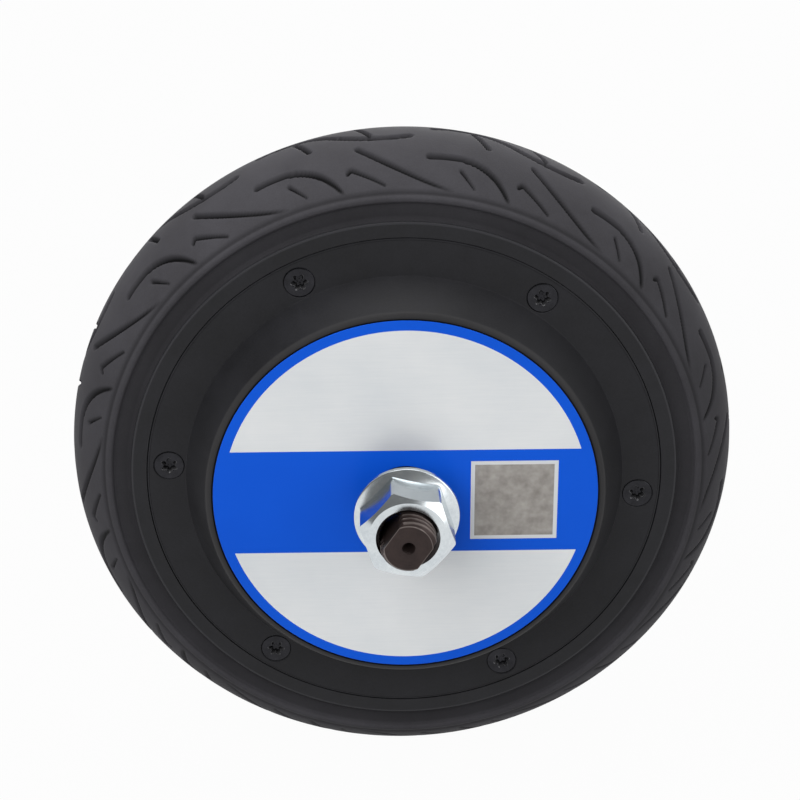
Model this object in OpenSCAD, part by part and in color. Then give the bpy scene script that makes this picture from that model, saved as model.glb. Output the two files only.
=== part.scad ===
// Hub motor drive wheel for a guided vehicle: solid tyre, rim with a direct-drive motor inside, fixed axle.
// The axle lies along Y, the name plate faces -Y and +Z is up. The origin is on the axis, mid-tyre.

/* [Tyre] */
// Diameter at the crown of the tread
tyre_d = 173; // [170:0.5:178]
// Width between the two sidewalls
sidewall_w = 38.4; // [38:0.2:40]
// Radius of the barrel-shaped tread section
crown_r = 24.2; // [23.6:0.2:26]
// Inner diameter of the rib along the shoulder
rib_d = 148.8; // [146:0.2:150]
// Height of the rib over the sidewall
rib_h = 0.8; // [0.4:0.1:1.2]

/* [Tread] */
// Repeats of the groove pattern round the tyre
tread_pitches = 12; // [10:1:12]
// Direction of the first pattern, seen from the name plate
tread_phase = 101.8; // [90:0.5:120]
// Depth of the grooves at the crown
groove_depth = 2.2; // [1:0.1:3]
// Distance of the groove ends from mid-tyre
groove_reach = 18.9; // [18:0.1:19]
// Width of the wave along the crown
wave_w = 2.4; // [1.6:0.1:2.8]
// Width of the long groove that sweeps to the shoulder
sweep_w = 1.7; // [1.2:0.1:2]
// Width of the arched groove
arch_w = 1.9; // [1.2:0.1:2.2]
// Width of the short hooked groove
hook_w = 1.4; // [0.8:0.1:1.8]
// Width of the short groove under the arch
sprig_w = 1; // [0.6:0.1:1.4]

/* [Rim] */
// Width of the rim over its two lips
rim_w = 41.4; // [41:0.2:43]
// Diameter of the lips
lip_d = 140; // [138:0.5:142]
// Width of each lip
lip_w = 3.7; // [3:0.1:4.2]
// Diameter of the channel that the tyre sits in
channel_d = 129; // [126:0.5:132]
// Width of the floor of that channel
channel_w = 27; // [24:0.5:29]
// Chamfer on the lips
lip_chamfer = 0.5; // [0.2:0.1:0.8]

/* [Covers] */
// Diameter of the covers
cover_d = 131.4; // [129:0.2:132.4]
// Thickness of the flange that the screws hold
flange_t = 4.5; // [4:0.1:5.5]
// Diameter at the foot of the conical boss
boss_foot_d = 112; // [110:0.5:113]
// Diameter at the top of the boss
boss_top_d = 100.4; // [99:0.2:102]
// Rounding of the edge at the top of the boss
boss_edge_r = 1.2; // [0.5:0.1:1.5]
// Height of the front boss over the flange
front_boss_h = 10.9; // [10.5:0.1:13]
// Height of the rear boss over the flange
rear_boss_h = 8.9; // [8.5:0.1:11]
// Diameter of the shallow recess in the face of the rear boss
rear_recess_d = 64; // [50:1:80]
// Depth of that recess
rear_recess = 0.5; // [0.3:0.1:0.8]
// Wall of the boss
cover_wall = 4; // [3:0.1:4.4]
// Wall round the bearing seat
seat_wall = 5; // [3.5:0.1:5.5]
// Hole that the axle passes through, over the journal
axle_hole_gap = 0.6; // [0.4:0.1:1.5]
// Stiffening ribs inside each cover
cover_ribs = 6; // [4:1:8]
// Thickness of those ribs
cover_rib_t = 3; // [2:0.1:4]

/* [Cover screws] */
// Screws in each cover
screw_count = 6; // [4:1:8]
// Thread diameter of the screws
screw_d = 4; // [3.5:0.1:4.4]
// Length of the screws
screw_l = 12; // [10:0.5:14]
// Diameter of the countersunk heads
screw_head_d = 7.8; // [7:0.1:8.4]
// Height of the countersunk heads
screw_head_h = 2.2; // [2:0.1:2.6]
// Diameter of the circle of screws
screw_circle_d = 120.6; // [120:0.2:121.4]
// Direction of the first screw, seen from the name plate
screw_phase = 55.5; // [40:0.5:70]
// Depth of the six-lobe drive
drive_depth = 1.5; // [1:0.1:1.8]
// Diameter over the lobes of the drive
drive_d = 4; // [3.2:0.1:4.4]
// Diameter of each lobe
lobe_d = 1.1; // [0.8:0.1:1.2]

/* [Gaskets] */
// Diameter at the middle of the gasket
gasket_d = 128.2; // [128:0.1:128.6]
// Width of the gasket
gasket_w = 1.8; // [1.4:0.1:2]
// Thickness of the gasket
gasket_t = 1.4; // [1:0.1:1.8]

/* [Name plate] */
// Diameter of the name plate
plate_d = 97.2; // [90:0.2:97.6]
// Thickness of the name plate
plate_t = 0.4; // [0.3:0.1:0.8]
// Depth of its recess in the front boss
plate_recess = 0.3; // [0.2:0.1:0.6]
// Diameter of the hole in the middle of the name plate
plate_hole_d = 18.4; // [18:0.1:24]

/* [Axle] */
// Length of the axle over its two ends
axle_l = 116.4; // [114:0.2:122]
// Thread diameter of the axle ends
thread_d = 14; // [13:0.1:14.6]
// Width over the two flats of the axle ends
axle_flat_w = 10; // [9:0.1:11]
// Direction that a flat faces, seen from the name plate
axle_flat_turn = 146; // [0:1:180]
// Diameter of the bearing journals
journal_d = 17; // [16.4:0.1:17.6]
// Diameter of the middle of the axle
axle_body_d = 20; // [19.6:0.1:21]
// How far the front shoulder stands out from the front boss
front_shoulder_out = 3.4; // [2:0.1:4]
// How far the rear shoulder stands out from the rear boss
rear_shoulder_out = 3.9; // [2:0.1:4.5]
// Chamfer on the axle ends
tip_chamfer = 1; // [0.5:0.1:1.5]
// Diameter of the centre drill hole in the front end
centre_drill_d = 3; // [2:0.1:4]
// Bore for the motor leads in the rear end
lead_bore_d = 7; // [6:0.1:7.4]
// Diameter of the cross hole where the leads enter the motor
lead_exit_d = 4; // [3:0.1:4.2]
// Wall of the grommet in the mouth of the bore
grommet_wall = 1; // [0.6:0.1:1.4]
// Length of that grommet
grommet_l = 8; // [5:0.5:12]

/* [Axle nuts] */
// Width over the flats of the nuts
nut_flat_w = 21; // [20:0.1:22]
// Height of the nuts
nut_h = 13; // [11:0.1:15]
// Diameter of the flange of the nuts
nut_flange_d = 26.4; // [25:0.1:28]
// Thickness of that flange at its edge
nut_flange_t = 1.4; // [1:0.1:2]
// Height of the chamfer at the corners of the nuts
nut_corner_drop = 1.9; // [1.2:0.1:3]
// How far the round face of the nuts lies inside their flats
nut_face_inset = 0.8; // [0.3:0.1:1.6]
// Room for a bracket plate between a shoulder and its nut
bracket_room = 5.2; // [4:0.1:7]
// Direction of a corner of the front nut, seen from the name plate
nut_turn = 48; // [0:1:60]

/* [Bearings] */
// Outer diameter of the bearings
bearing_d = 35; // [33:0.2:36]
// Width of the bearings
bearing_w = 10; // [9:0.1:10.4]
// Diameter of the balls
ball_d = 4.7; // [4.4:0.1:4.8]
// Balls in each bearing
ball_count = 10; // [8:1:11]
// Thickness of the ball cage
cage_t = 1.4; // [1:0.1:1.6]
// Width of the ball cage
cage_w = 6.4; // [6:0.1:7]
// Outer diameter of the oil seals
seal_d = 27; // [25:0.2:28]
// Thickness of the oil seals
seal_t = 2.5; // [2:0.1:2.8]

/* [Motor] */
// Outer diameter of the stator
stator_d = 95; // [94.4:0.2:95.4]
// Length of the stack of sheets
stack_l = 22; // [20:0.5:22.5]
// Teeth of the stator
tooth_count = 27; // [24:3:27]
// Width of a tooth
tooth_w = 4.6; // [3.6:0.1:4.8]
// Thickness of the tooth tips
tooth_tip_t = 1.7; // [1.2:0.1:1.8]
// Opening between two tooth tips
slot_mouth = 2; // [1.4:0.1:3]
// Thickness of the yoke behind the teeth
yoke_t = 6; // [5:0.1:6.4]
// Diameter of the seat of the stack on its hub
stack_bore_d = 56; // [55.4:0.2:56.4]
// Thickness of the windings beside a tooth
coil_t = 1.55; // [1.2:0.05:1.6]
// Radial height of the windings
coil_h = 8.8; // [7:0.1:9]
// Thickness of the slot insulators on the ends of the stack
insulator_t = 1.2; // [0.8:0.1:1.4]
// Air gap between the stator and the magnets
air_gap = 0.7; // [0.5:0.05:1]
// Magnets round the rotor
magnet_count = 30; // [28:2:32]
// Thickness of the magnets
magnet_t = 2.8; // [2.4:0.1:3]
// Length of the magnets
magnet_l = 25; // [22:0.5:26]
// Gap between two magnets
magnet_gap = 1; // [0.5:0.1:1.5]
// Thickness of the steel ring behind the magnets
back_iron_t = 4; // [3:0.1:4.2]
// Length of that ring
back_iron_l = 28; // [26:0.5:30]

/* [Stator hub] */
// Length of the stator hub
hub_l = 18; // [16:0.2:19]
// Diameter of the boss of the stator hub
hub_boss_d = 34; // [31:0.2:36]
// Thickness of the rim of the stator hub
hub_rim_t = 5; // [4.6:0.1:5.2]
// Thickness of the web of the stator hub
hub_web_t = 6; // [4:0.2:8]
// Holes through the web
hub_holes = 6; // [4:1:8]
// Diameter of those holes
hub_hole_d = 5; // [3:0.1:5.4]
// Width and height of the parallel key
key_w = 6; // [5:0.1:6.4]
// Length of the parallel key
key_l = 15; // [10:0.5:15.5]
// Depth of the key in the axle
key_seat = 3.5; // [3:0.1:3.6]
// Thickness of the two circlips that hold the hub
circlip_t = 1.2; // [1:0.1:1.4]
// Depth of the circlip grooves
circlip_seat = 0.5; // [0.3:0.1:0.8]
// Opening of the circlips
circlip_mouth = 10; // [8:0.5:12]
// Radial width of the circlips
circlip_w = 3; // [2:0.1:3.5]

/* [Sensors] */
// Thickness of the two circuit boards
board_t = 1.6; // [1:0.1:1.8]
// Outer diameter of the encoder board
encoder_board_d = 78; // [70:0.5:80]
// Distance of the encoder board from the stator hub
encoder_post_l = 8; // [7:0.1:8.2]
// Posts under the encoder board
encoder_posts_count = 3; // [3:1:4]
// Diameter of the posts
encoder_post_d = 4.4; // [4:0.1:4.6]
// Diameter of the screws in the posts
encoder_screw_d = 2.5; // [2:0.1:2.6]
// Height of the heads of those screws
encoder_screw_h = 1; // [0.8:0.1:1.1]
// Diameter of the code disc
code_disc_d = 72; // [68:0.5:76]
// Thickness of the code disc
code_disc_t = 0.8; // [0.6:0.1:1]
// Gap between the encoder's reader and the code disc
reader_gap = 0.4; // [0.3:0.05:0.6]
// Height of the reader over its board
reader_h = 1.2; // [1:0.1:1.4]
// Width of the reader
reader_w = 9; // [6:0.5:10]
// Width of the clamping ring of the code disc
disc_ring_w = 3.4; // [3:0.1:4]
// Thickness of the clamping ring
disc_ring_t = 2.4; // [2:0.1:2.6]
// Arc that the Hall sensor board covers
hall_arc = 130; // [120:1:160]
// Height of the fence that carries the Hall sensor board, over the stack
fence_h = 5.4; // [5.2:0.1:6]
// Width of the fence
fence_w = 1.8; // [1.4:0.1:2]

/* [Fits] */
// Radial gap of a pressed or glued seat
press_gap = 0.03; // [0.02:0.01:0.06]
// Gap between a cover and the rim round it
cover_gap = 0.3; // [0.2:0.05:0.4]
// Radial gap of a screw, a thread or a running surface
run_gap = 0.1; // [0.06:0.01:0.15]

/* [Hidden] */
$fn = 96;

// A cut runs this far past the face that it opens
overshoot = 1;

// Rim and covers
rim_half = rim_w / 2;
flange_seat = rim_half - flange_t;
front_boss_face = rim_half + front_boss_h;
rear_boss_face = rim_half + rear_boss_h;
cover_seat_d = cover_d + 2 * cover_gap;

// Axle passage through a boss, measured inwards from the boss face
axle_lip_t = 1.6;
seal_room = 3;
axle_hole_d = journal_d + 2 * axle_hole_gap;
seat_inset = axle_lip_t + seal_room;
front_bearing_out = front_boss_face - seat_inset;
rear_bearing_out = rear_boss_face - seat_inset;
front_bearing_in = front_bearing_out - bearing_w;
rear_bearing_in = rear_bearing_out - bearing_w;
seat_hub_d = bearing_d + 2 * seat_wall;
rib_clearance = 0.6;

// Axle ends
axle_half = axle_l / 2;
front_shoulder = front_boss_face + front_shoulder_out;
rear_shoulder = rear_boss_face + rear_shoulder_out;
front_nut_seat = front_shoulder + bracket_room;
rear_nut_seat = rear_shoulder + bracket_room;
nut_bore_d = thread_d + 2 * run_gap;
nut_entry = 0.8;
nut_entry_d = thread_d + 2 * nut_entry;
nut_flange_rise = 1;

// Motor, from the stator outwards
stack_half = stack_l / 2;
yoke_d = stack_bore_d + 2 * yoke_t;
magnet_inner_d = stator_d + 2 * air_gap;
magnet_outer_d = magnet_inner_d + 2 * magnet_t;
ring_inner_d = magnet_outer_d + 2 * press_gap;
ring_outer_d = ring_inner_d + 2 * back_iron_t;
rim_bore_d = ring_outer_d + 2 * press_gap;
coil_tip_gap = 0.4;
coil_outer_r = stator_d / 2 - tooth_tip_t - coil_tip_gap;
coil_inner_r = coil_outer_r - coil_h;
coil_slack = 0.15;
hub_half = hub_l / 2;
hub_rim_inner_d = stack_bore_d - 2 * hub_rim_t;
key_top_gap = 0.3;
key_floor = axle_body_d / 2 - key_seat;

// Sensors
post_circle_d = stack_bore_d - hub_rim_t;
encoder_board_seat = hub_half + encoder_post_l;
encoder_board_face = encoder_board_seat + board_t;
board_hub_gap = 1;
encoder_board_hole_d = seat_hub_d + 2 * board_hub_gap;
reader_face = encoder_board_face + reader_h;
code_disc_seat = reader_face + reader_gap;
code_disc_face = code_disc_seat + code_disc_t;
code_disc_hole_d = seat_hub_d + 2 * run_gap;
fence_coil_gap = 0.6;
fence_outer_r = coil_inner_r - fence_coil_gap;
fence_inner_r = fence_outer_r - fence_w;
fence_end = stack_half + fence_h;
hall_count = 3;
hall_turn = 360 / tooth_count * hall_count;
hall_size = [4, 1.4, 3.6];
hall_tip_gap = 0.3;

// Tread: the section is an arc about crown_centre, and the groove floors are a flatter arc
tyre_r = tyre_d / 2;
crown_centre = tyre_r - crown_r;
sidewall_half = sidewall_w / 2;
reach_drop = crown_r - sqrt(pow(crown_r, 2) - pow(groove_reach, 2)) - groove_depth;
floor_r = (pow(groove_reach, 2) + pow(reach_drop, 2)) / (2 * reach_drop);
floor_centre = tyre_r - groove_depth - floor_r;
cut_low = lip_d / 2 + overshoot;
cut_high = tyre_r + overshoot;

// Grooves of half a pattern, each in the plane that faces out at its own turn from the middle of the wave.
// X runs round the tyre and Y across it, both in millimetres.
wave_turn = -6.7;
wave_bend_r = 22.5;
wave_centre = [-2.7, -18.5];
wave_arc = [55, 54.2];
sweep_turn = -12.5;
sweep_bend_r = 47.2;
sweep_centre = [-18.1, -28];
sweep_arc = [48.9, 33];
arch_turn = -22.5;
arch_bend_r = 17;
arch_centre = [2.9, 27.9];
arch_arc = [210, 60];
arch_end = [10, 11.1];
hook_turn = -5;
hook_points = [[3.7, 13.7], [-5.2, 18.1]];
hook_tip = [[4.6, 15.1], [3, 13.5]];
sprig_turn = -22.85;
sprig_points = [[2.08, 13.8], [-2.4, 17.9]];
spur_turn = 5;
spur_points = [[-1.9, 5.8], [2.2, -2.6]];
spur_w = 1.5;

// Turns the wheel's own axis, +Z while drawing, to -Y with the top of the wheel up
module lay_on_axle()
    rotate([90, 0, 0])
        children();

// Draws a rear piece as the mirror image of a front one
module at_rear()
    mirror([0, 0, 1])
        children();

// Repeats a child round the axis
module ring_of(count, phase = 0)
    for (i = [0 : count - 1])
        rotate([0, 0, phase + i * 360 / count])
            children();

// Tube along the axis from low to high
module tube(outer_d, inner_d, low, high)
    translate([0, 0, low])
        difference() {
            cylinder(d = outer_d, h = high - low);
            translate([0, 0, -overshoot])
                cylinder(d = inner_d, h = high - low + 2 * overshoot);
        }

// Points of an arc about a centre, from one angle to another
function arc_points(centre, r, from, to, steps = 6) =
    [for (i = [0 : steps]) centre + r * [cos(from + (to - from) * i / steps), sin(from + (to - from) * i / steps)]];

// Outline of the rim that the tyre sits in, one side, from the channel floor to the lip
function rim_seat(gap) = [
    [channel_d / 2 + gap, channel_w / 2],
    [lip_d / 2 + gap, rim_half - lip_w]
];

function flipped(points) = [for (i = [len(points) - 1 : -1 : 0]) [points[i].x, -points[i].y]];

// Plane that faces out from the axle at a turn round it: X runs round the axle and Y along it
module outward_plane(turn = 0)
    rotate([0, 0, turn])
        rotate([90, 0, 90])
            children();

// Cutter for a groove that follows an arc in its tread plane
module arc_groove(turn, centre, bend_r, arc, w)
    outward_plane(turn)
        translate([centre.x, centre.y, 0])
            rotate([0, 0, arc[0]])
                rotate_extrude(angle = arc[1])
                    translate([bend_r - w / 2, cut_low])
                        square([w, cut_high - cut_low]);

// Cutter for a groove that follows straight lines from point to point in its tread plane
module line_groove(turn, points, w)
    outward_plane(turn)
        for (i = [0 : len(points) - 2]) {
            run = points[i + 1] - points[i];
            translate([points[i].x, points[i].y, cut_low])
                rotate([0, 0, atan2(run.y, run.x)])
                    translate([0, -w / 2, 0])
                        cube([norm(run), w, cut_high - cut_low]);
        }

// Grooves of half a pattern: the other half is the same turned about the middle of the wave
module half_pattern() {
    arc_groove(wave_turn, wave_centre, wave_bend_r, wave_arc, wave_w);
    arc_groove(sweep_turn, sweep_centre, sweep_bend_r, sweep_arc, sweep_w);
    arc_groove(arch_turn, arch_centre, arch_bend_r, arch_arc, arch_w);
    line_groove(arch_turn, [[arch_centre.x, arch_centre.y - arch_bend_r], arch_end], arch_w);
    line_groove(hook_turn, hook_points, hook_w);
    line_groove(hook_turn, hook_tip, hook_w);
    line_groove(sprig_turn, sprig_points, sprig_w);
    line_groove(spur_turn, spur_points, spur_w);
}

// Space between the groove floors and the outside of the tyre
module groove_band()
    rotate_extrude()
        difference() {
            translate([cut_low, -groove_reach])
                square([cut_high - cut_low, 2 * groove_reach]);
            translate([floor_centre, 0])
                circle(r = floor_r);
        }

// One side of the tyre's section: the seat on the rim, the sidewall and the rib along the shoulder
function tyre_side() = concat(rim_seat(press_gap), [
    [lip_d / 2 + press_gap, sidewall_half],
    [rib_d / 2 - rib_h / 2, sidewall_half],
    [rib_d / 2, sidewall_half + rib_h],
    [tyre_r + overshoot, sidewall_half + rib_h]
]);

// Section of the tyre without its grooves
module tyre_section()
    intersection() {
        translate([crown_centre, 0])
            circle(r = crown_r);
        polygon(concat(tyre_side(), flipped(tyre_side())));
    }

module tyre()
    color("#3d3b3f")
        lay_on_axle()
            difference() {
                rotate_extrude()
                    tyre_section();
                intersection() {
                    groove_band();
                    ring_of(tread_pitches, tread_phase)
                        for (half = [0, 180])
                            rotate([half, 0, 0])
                                half_pattern();
                }
            }

// Half of the rim's section: bore, cover seat, lip and channel
function rim_half_section() = [
    [rim_bore_d / 2, flange_seat],
    [cover_seat_d / 2, flange_seat],
    [cover_seat_d / 2, rim_half],
    [lip_d / 2 - lip_chamfer, rim_half],
    [lip_d / 2, rim_half - lip_chamfer],
    [lip_d / 2, rim_half - lip_w],
    [channel_d / 2, channel_w / 2]
];

module rim()
    color("#2b2b2d")
        lay_on_axle()
            difference() {
                rotate_extrude()
                    polygon(concat(rim_half_section(), flipped(rim_half_section())));
                for (side = [0, 1])
                    mirror([0, 0, side]) {
                        ring_of(screw_count, screw_phase)
                            translate([screw_circle_d / 2, 0, rim_half - screw_l - overshoot])
                                cylinder(d = screw_d + 2 * run_gap, h = screw_l + overshoot);
                        tube(gasket_d + gasket_w + 2 * run_gap, gasket_d - gasket_w - 2 * run_gap,
                            flange_seat - gasket_t, flange_seat + overshoot);
                    }
            }

// Cover with a conical boss, drawn facing +Z: flange, boss, bearing seat, seal room and axle hole
module cover(boss_h, recess_d, recess, rib_low) {
    face = rim_half + boss_h;
    roof = face - cover_wall;
    bearing_out = face - seat_inset;
    edge = [boss_top_d / 2 - boss_edge_r, face - boss_edge_r];
    slope = atan2(boss_h, (boss_foot_d - boss_top_d) / 2);
    difference() {
        union() {
            rotate_extrude()
                polygon(concat(
                    [
                        [axle_hole_d / 2, face - recess],
                        [axle_hole_d / 2, face - axle_lip_t],
                        [seal_d / 2 + press_gap, face - axle_lip_t],
                        [seal_d / 2 + press_gap, bearing_out],
                        [bearing_d / 2 + press_gap, bearing_out],
                        [bearing_d / 2 + press_gap, bearing_out - bearing_w],
                        [seat_hub_d / 2, bearing_out - bearing_w],
                        [seat_hub_d / 2, roof],
                        [boss_top_d / 2 - cover_wall, roof],
                        [boss_foot_d / 2 - cover_wall, flange_seat],
                        [cover_d / 2, flange_seat],
                        [cover_d / 2, rim_half],
                        [boss_foot_d / 2, rim_half]
                    ],
                    arc_points(edge, boss_edge_r, 90 - slope, 90),
                    [
                        [recess_d / 2, face],
                        [recess_d / 2, face - recess]
                    ]
                ));
            ring_of(cover_ribs)
                translate([seat_hub_d / 2 - overshoot, -cover_rib_t / 2, rib_low])
                    cube([boss_top_d / 2 - cover_wall - seat_hub_d / 2 + overshoot, cover_rib_t,
                        roof - rib_low + overshoot]);
        }
        ring_of(screw_count, screw_phase)
            translate([screw_circle_d / 2, 0, 0])
                rotate_extrude()
                    polygon([
                        [0, flange_seat - overshoot],
                        [screw_d / 2 + run_gap, flange_seat - overshoot],
                        [screw_d / 2 + run_gap, rim_half - screw_head_h - run_gap],
                        [screw_head_d / 2 + run_gap, rim_half],
                        [screw_head_d / 2 + run_gap, rim_half + overshoot],
                        [0, rim_half + overshoot]
                    ]);
    }
}

module front_cover()
    color("#2c2c2e")
        lay_on_axle()
            cover(front_boss_h, plate_d + 2 * cover_gap, plate_recess, code_disc_face + disc_ring_t + rib_clearance);

module rear_cover()
    color("#2c2c2e")
        lay_on_axle()
            at_rear()
                cover(rear_boss_h, rear_recess_d, rear_recess, rear_boss_face - 2 * cover_wall);

// Countersunk screws with a six-lobe drive, drawn facing +Z
module cover_screws()
    ring_of(screw_count, screw_phase)
        translate([screw_circle_d / 2, 0, 0])
            difference() {
                rotate_extrude()
                    polygon([
                        [0, rim_half - screw_l],
                        [screw_d / 2 - run_gap, rim_half - screw_l],
                        [screw_d / 2 - run_gap, rim_half - screw_head_h],
                        [screw_head_d / 2, rim_half - run_gap],
                        [0, rim_half - run_gap]
                    ]);
                translate([0, 0, rim_half - drive_depth])
                    linear_extrude(drive_depth + overshoot) {
                        circle(d = drive_d - lobe_d);
                        for (lobe = [0 : 60 : 300])
                            rotate(lobe)
                                translate([(drive_d - lobe_d) / 2, 0])
                                    circle(d = lobe_d);
                    }
            }

module front_cover_screws()
    color("#55565a")
        lay_on_axle()
            cover_screws();

module rear_cover_screws()
    color("#55565a")
        lay_on_axle()
            at_rear()
                cover_screws();

module gasket()
    tube(gasket_d + gasket_w, gasket_d - gasket_w, flange_seat - gasket_t, flange_seat);

module front_gasket()
    color("#1c1c1c")
        lay_on_axle()
            gasket();

module rear_gasket()
    color("#1c1c1c")
        lay_on_axle()
            at_rear()
                gasket();

module name_plate()
    color("#d5d9de")
        lay_on_axle()
            tube(plate_d, plate_hole_d, front_boss_face - plate_recess, front_boss_face - plate_recess + plate_t);

module back_iron_ring()
    color("#6d6f73")
        lay_on_axle()
            tube(ring_outer_d, ring_inner_d, -back_iron_l / 2, back_iron_l / 2);

module magnets() {
    span = 360 / magnet_count - 2 * asin(magnet_gap / magnet_outer_d);
    color("#b9bcc0")
        lay_on_axle()
            ring_of(magnet_count)
                translate([0, 0, -magnet_l / 2])
                    rotate_extrude(angle = span)
                        translate([magnet_inner_d / 2, 0])
                            square([magnet_t, magnet_l]);
}

// Sheet shape of the stator, and of its insulators where the tips are left out
module stator_sheet(bore_d, with_tips)
    difference() {
        union() {
            circle(d = yoke_d);
            for (i = [0 : tooth_count - 1])
                rotate(i * 360 / tooth_count)
                    translate([0, -tooth_w / 2])
                        square([stator_d / 2 - tooth_tip_t / 2, tooth_w]);
            if (with_tips)
                difference() {
                    circle(d = stator_d);
                    circle(d = stator_d - 2 * tooth_tip_t);
                    for (i = [0 : tooth_count - 1])
                        rotate((i + 0.5) * 360 / tooth_count)
                            translate([0, -slot_mouth / 2])
                                square([stator_d, slot_mouth]);
                }
        }
        circle(d = bore_d);
    }

module stator_core()
    color("#7b7d80")
        lay_on_axle()
            translate([0, 0, -stack_half])
                linear_extrude(stack_l)
                    stator_sheet(stack_bore_d + 2 * press_gap, true);

// Insulator on one end of the stack, with the fence that holds the windings
module slot_insulator() {
    translate([0, 0, stack_half])
        linear_extrude(insulator_t)
            stator_sheet(yoke_d - 2 * fence_w, false);
    tube(2 * fence_outer_r, 2 * fence_inner_r, stack_half, fence_end);
}

module front_slot_insulator()
    color("#e8e2d0")
        lay_on_axle()
            slot_insulator();

module rear_slot_insulator()
    color("#e8e2d0")
        lay_on_axle()
            at_rear()
                slot_insulator();

module windings() {
    inner = [tooth_w + 2 * coil_slack, stack_l + 2 * insulator_t + 2 * coil_slack];
    outer = inner + 2 * [coil_t, coil_t];
    color("#b5651d")
        lay_on_axle()
            ring_of(tooth_count)
                outward_plane()
                    translate([0, 0, coil_inner_r])
                        linear_extrude(coil_h)
                            difference() {
                                union() {
                                    square([inner.x, outer.y], center = true);
                                    square([outer.x, inner.y], center = true);
                                    for (x = [-0.5, 0.5], y = [-0.5, 0.5])
                                        translate([x * inner.x, y * inner.y])
                                            circle(r = coil_t);
                                }
                                square(inner, center = true);
                            }
}

module stator_hub()
    color("#a9acb0")
        lay_on_axle()
            difference() {
                union() {
                    tube(hub_boss_d, axle_body_d + 2 * press_gap, -hub_half, hub_half);
                    tube(stack_bore_d, hub_rim_inner_d, -hub_half, hub_half);
                    tube(hub_rim_inner_d + overshoot, hub_boss_d - overshoot, -hub_web_t / 2, hub_web_t / 2);
                }
                translate([-key_w / 2 - press_gap, 0, -hub_half - overshoot])
                    cube([key_w + 2 * press_gap, key_floor + key_w + key_top_gap, hub_l + 2 * overshoot]);
                ring_of(hub_holes)
                    translate([(hub_rim_inner_d + hub_boss_d) / 4, 0, -hub_web_t])
                        cylinder(d = hub_hole_d, h = 2 * hub_web_t);
                ring_of(encoder_posts_count)
                    translate([post_circle_d / 2, 0, 0])
                        cylinder(d = encoder_screw_d + 2 * run_gap, h = hub_half + overshoot);
            }

module stator_key()
    color("#8d8f93")
        lay_on_axle()
            translate([-key_w / 2, key_floor, -key_l / 2])
                cube([key_w, key_w, key_l]);

// External circlip in its groove, open at the bottom
module circlip()
    difference() {
        tube(axle_body_d - 2 * circlip_seat + 2 * circlip_w, axle_body_d - 2 * circlip_seat + 2 * press_gap,
            hub_half, hub_half + circlip_t);
        translate([-circlip_mouth / 2, -axle_body_d, hub_half - overshoot])
            cube([circlip_mouth, axle_body_d, circlip_t + 2 * overshoot]);
    }

module stator_circlips()
    color("#4a4b4e")
        lay_on_axle() {
            circlip();
            at_rear()
                circlip();
        }

// Half of the turned body's outline, from the middle out to one shoulder
function axle_outline(bearing_in, shoulder) = [
    [axle_body_d / 2, bearing_in],
    [journal_d / 2, bearing_in],
    [journal_d / 2, shoulder],
    [0, shoulder]
];

// Threaded end with two flats, from inside the shoulder out to the tip
module axle_end(shoulder)
    intersection() {
        rotate_extrude()
            polygon([
                [0, shoulder - overshoot],
                [thread_d / 2, shoulder - overshoot],
                [thread_d / 2, axle_half - tip_chamfer],
                [thread_d / 2 - tip_chamfer, axle_half],
                [0, axle_half]
            ]);
        rotate([0, 0, axle_flat_turn])
            translate([-axle_flat_w / 2, -thread_d, shoulder - 2 * overshoot])
                cube([axle_flat_w, 2 * thread_d, axle_half]);
    }

module axle()
    color("#3a302e")
        lay_on_axle()
            difference() {
                union() {
                    rotate_extrude()
                        polygon(concat(
                            flipped(axle_outline(rear_bearing_in, rear_shoulder)),
                            axle_outline(front_bearing_in, front_shoulder)
                        ));
                    axle_end(front_shoulder);
                    at_rear()
                        axle_end(rear_shoulder);
                }
                translate([0, 0, axle_half - centre_drill_d])
                    cylinder(d1 = centre_drill_d / 8, d2 = centre_drill_d, h = centre_drill_d);
                translate([-key_w / 2 - press_gap, key_floor, -key_l / 2 - press_gap])
                    cube([key_w + 2 * press_gap, key_w, key_l + 2 * press_gap]);
                for (side = [0, 1])
                    mirror([0, 0, side])
                        tube(axle_body_d + 2 * overshoot, axle_body_d - 2 * circlip_seat,
                            hub_half, hub_half + circlip_t + press_gap);
                translate([0, 0, -axle_half - overshoot])
                    cylinder(d = lead_bore_d, h = axle_half + overshoot - hub_half - circlip_t);
                translate([0, 0, -(rear_bearing_in + hub_half + circlip_t) / 2])
                    rotate([90, 0, 0])
                        cylinder(d = lead_exit_d, h = axle_body_d);
            }

module lead_grommet()
    color("#1c1c1c")
        lay_on_axle()
            tube(lead_bore_d - 2 * press_gap, lead_bore_d - 2 * press_gap - 2 * grommet_wall,
                -axle_half, -axle_half + grommet_l);

// Flange nut standing on z = 0
module flange_nut() {
    corner_d = nut_flat_w / cos(30);
    difference() {
        union() {
            intersection() {
                cylinder(d = corner_d, h = nut_h, $fn = 6);
                rotate_extrude()
                    polygon([
                        [0, 0],
                        [corner_d / 2 + overshoot, 0],
                        [corner_d / 2 + overshoot, nut_h - nut_corner_drop],
                        [nut_flat_w / 2 - nut_face_inset, nut_h],
                        [0, nut_h]
                    ]);
            }
            rotate_extrude()
                polygon([
                    [0, 0],
                    [nut_flange_d / 2, 0],
                    [nut_flange_d / 2, nut_flange_t],
                    [nut_flat_w / 2, nut_flange_t + nut_flange_rise],
                    [0, nut_flange_t + nut_flange_rise]
                ]);
        }
        translate([0, 0, -overshoot])
            cylinder(d = nut_bore_d, h = nut_h + 2 * overshoot);
        translate([0, 0, nut_h - (nut_entry_d - nut_bore_d) / 2])
            cylinder(d1 = nut_bore_d, d2 = nut_entry_d + 2 * overshoot, h = (nut_entry_d - nut_bore_d) / 2 + overshoot);
    }
}

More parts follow.
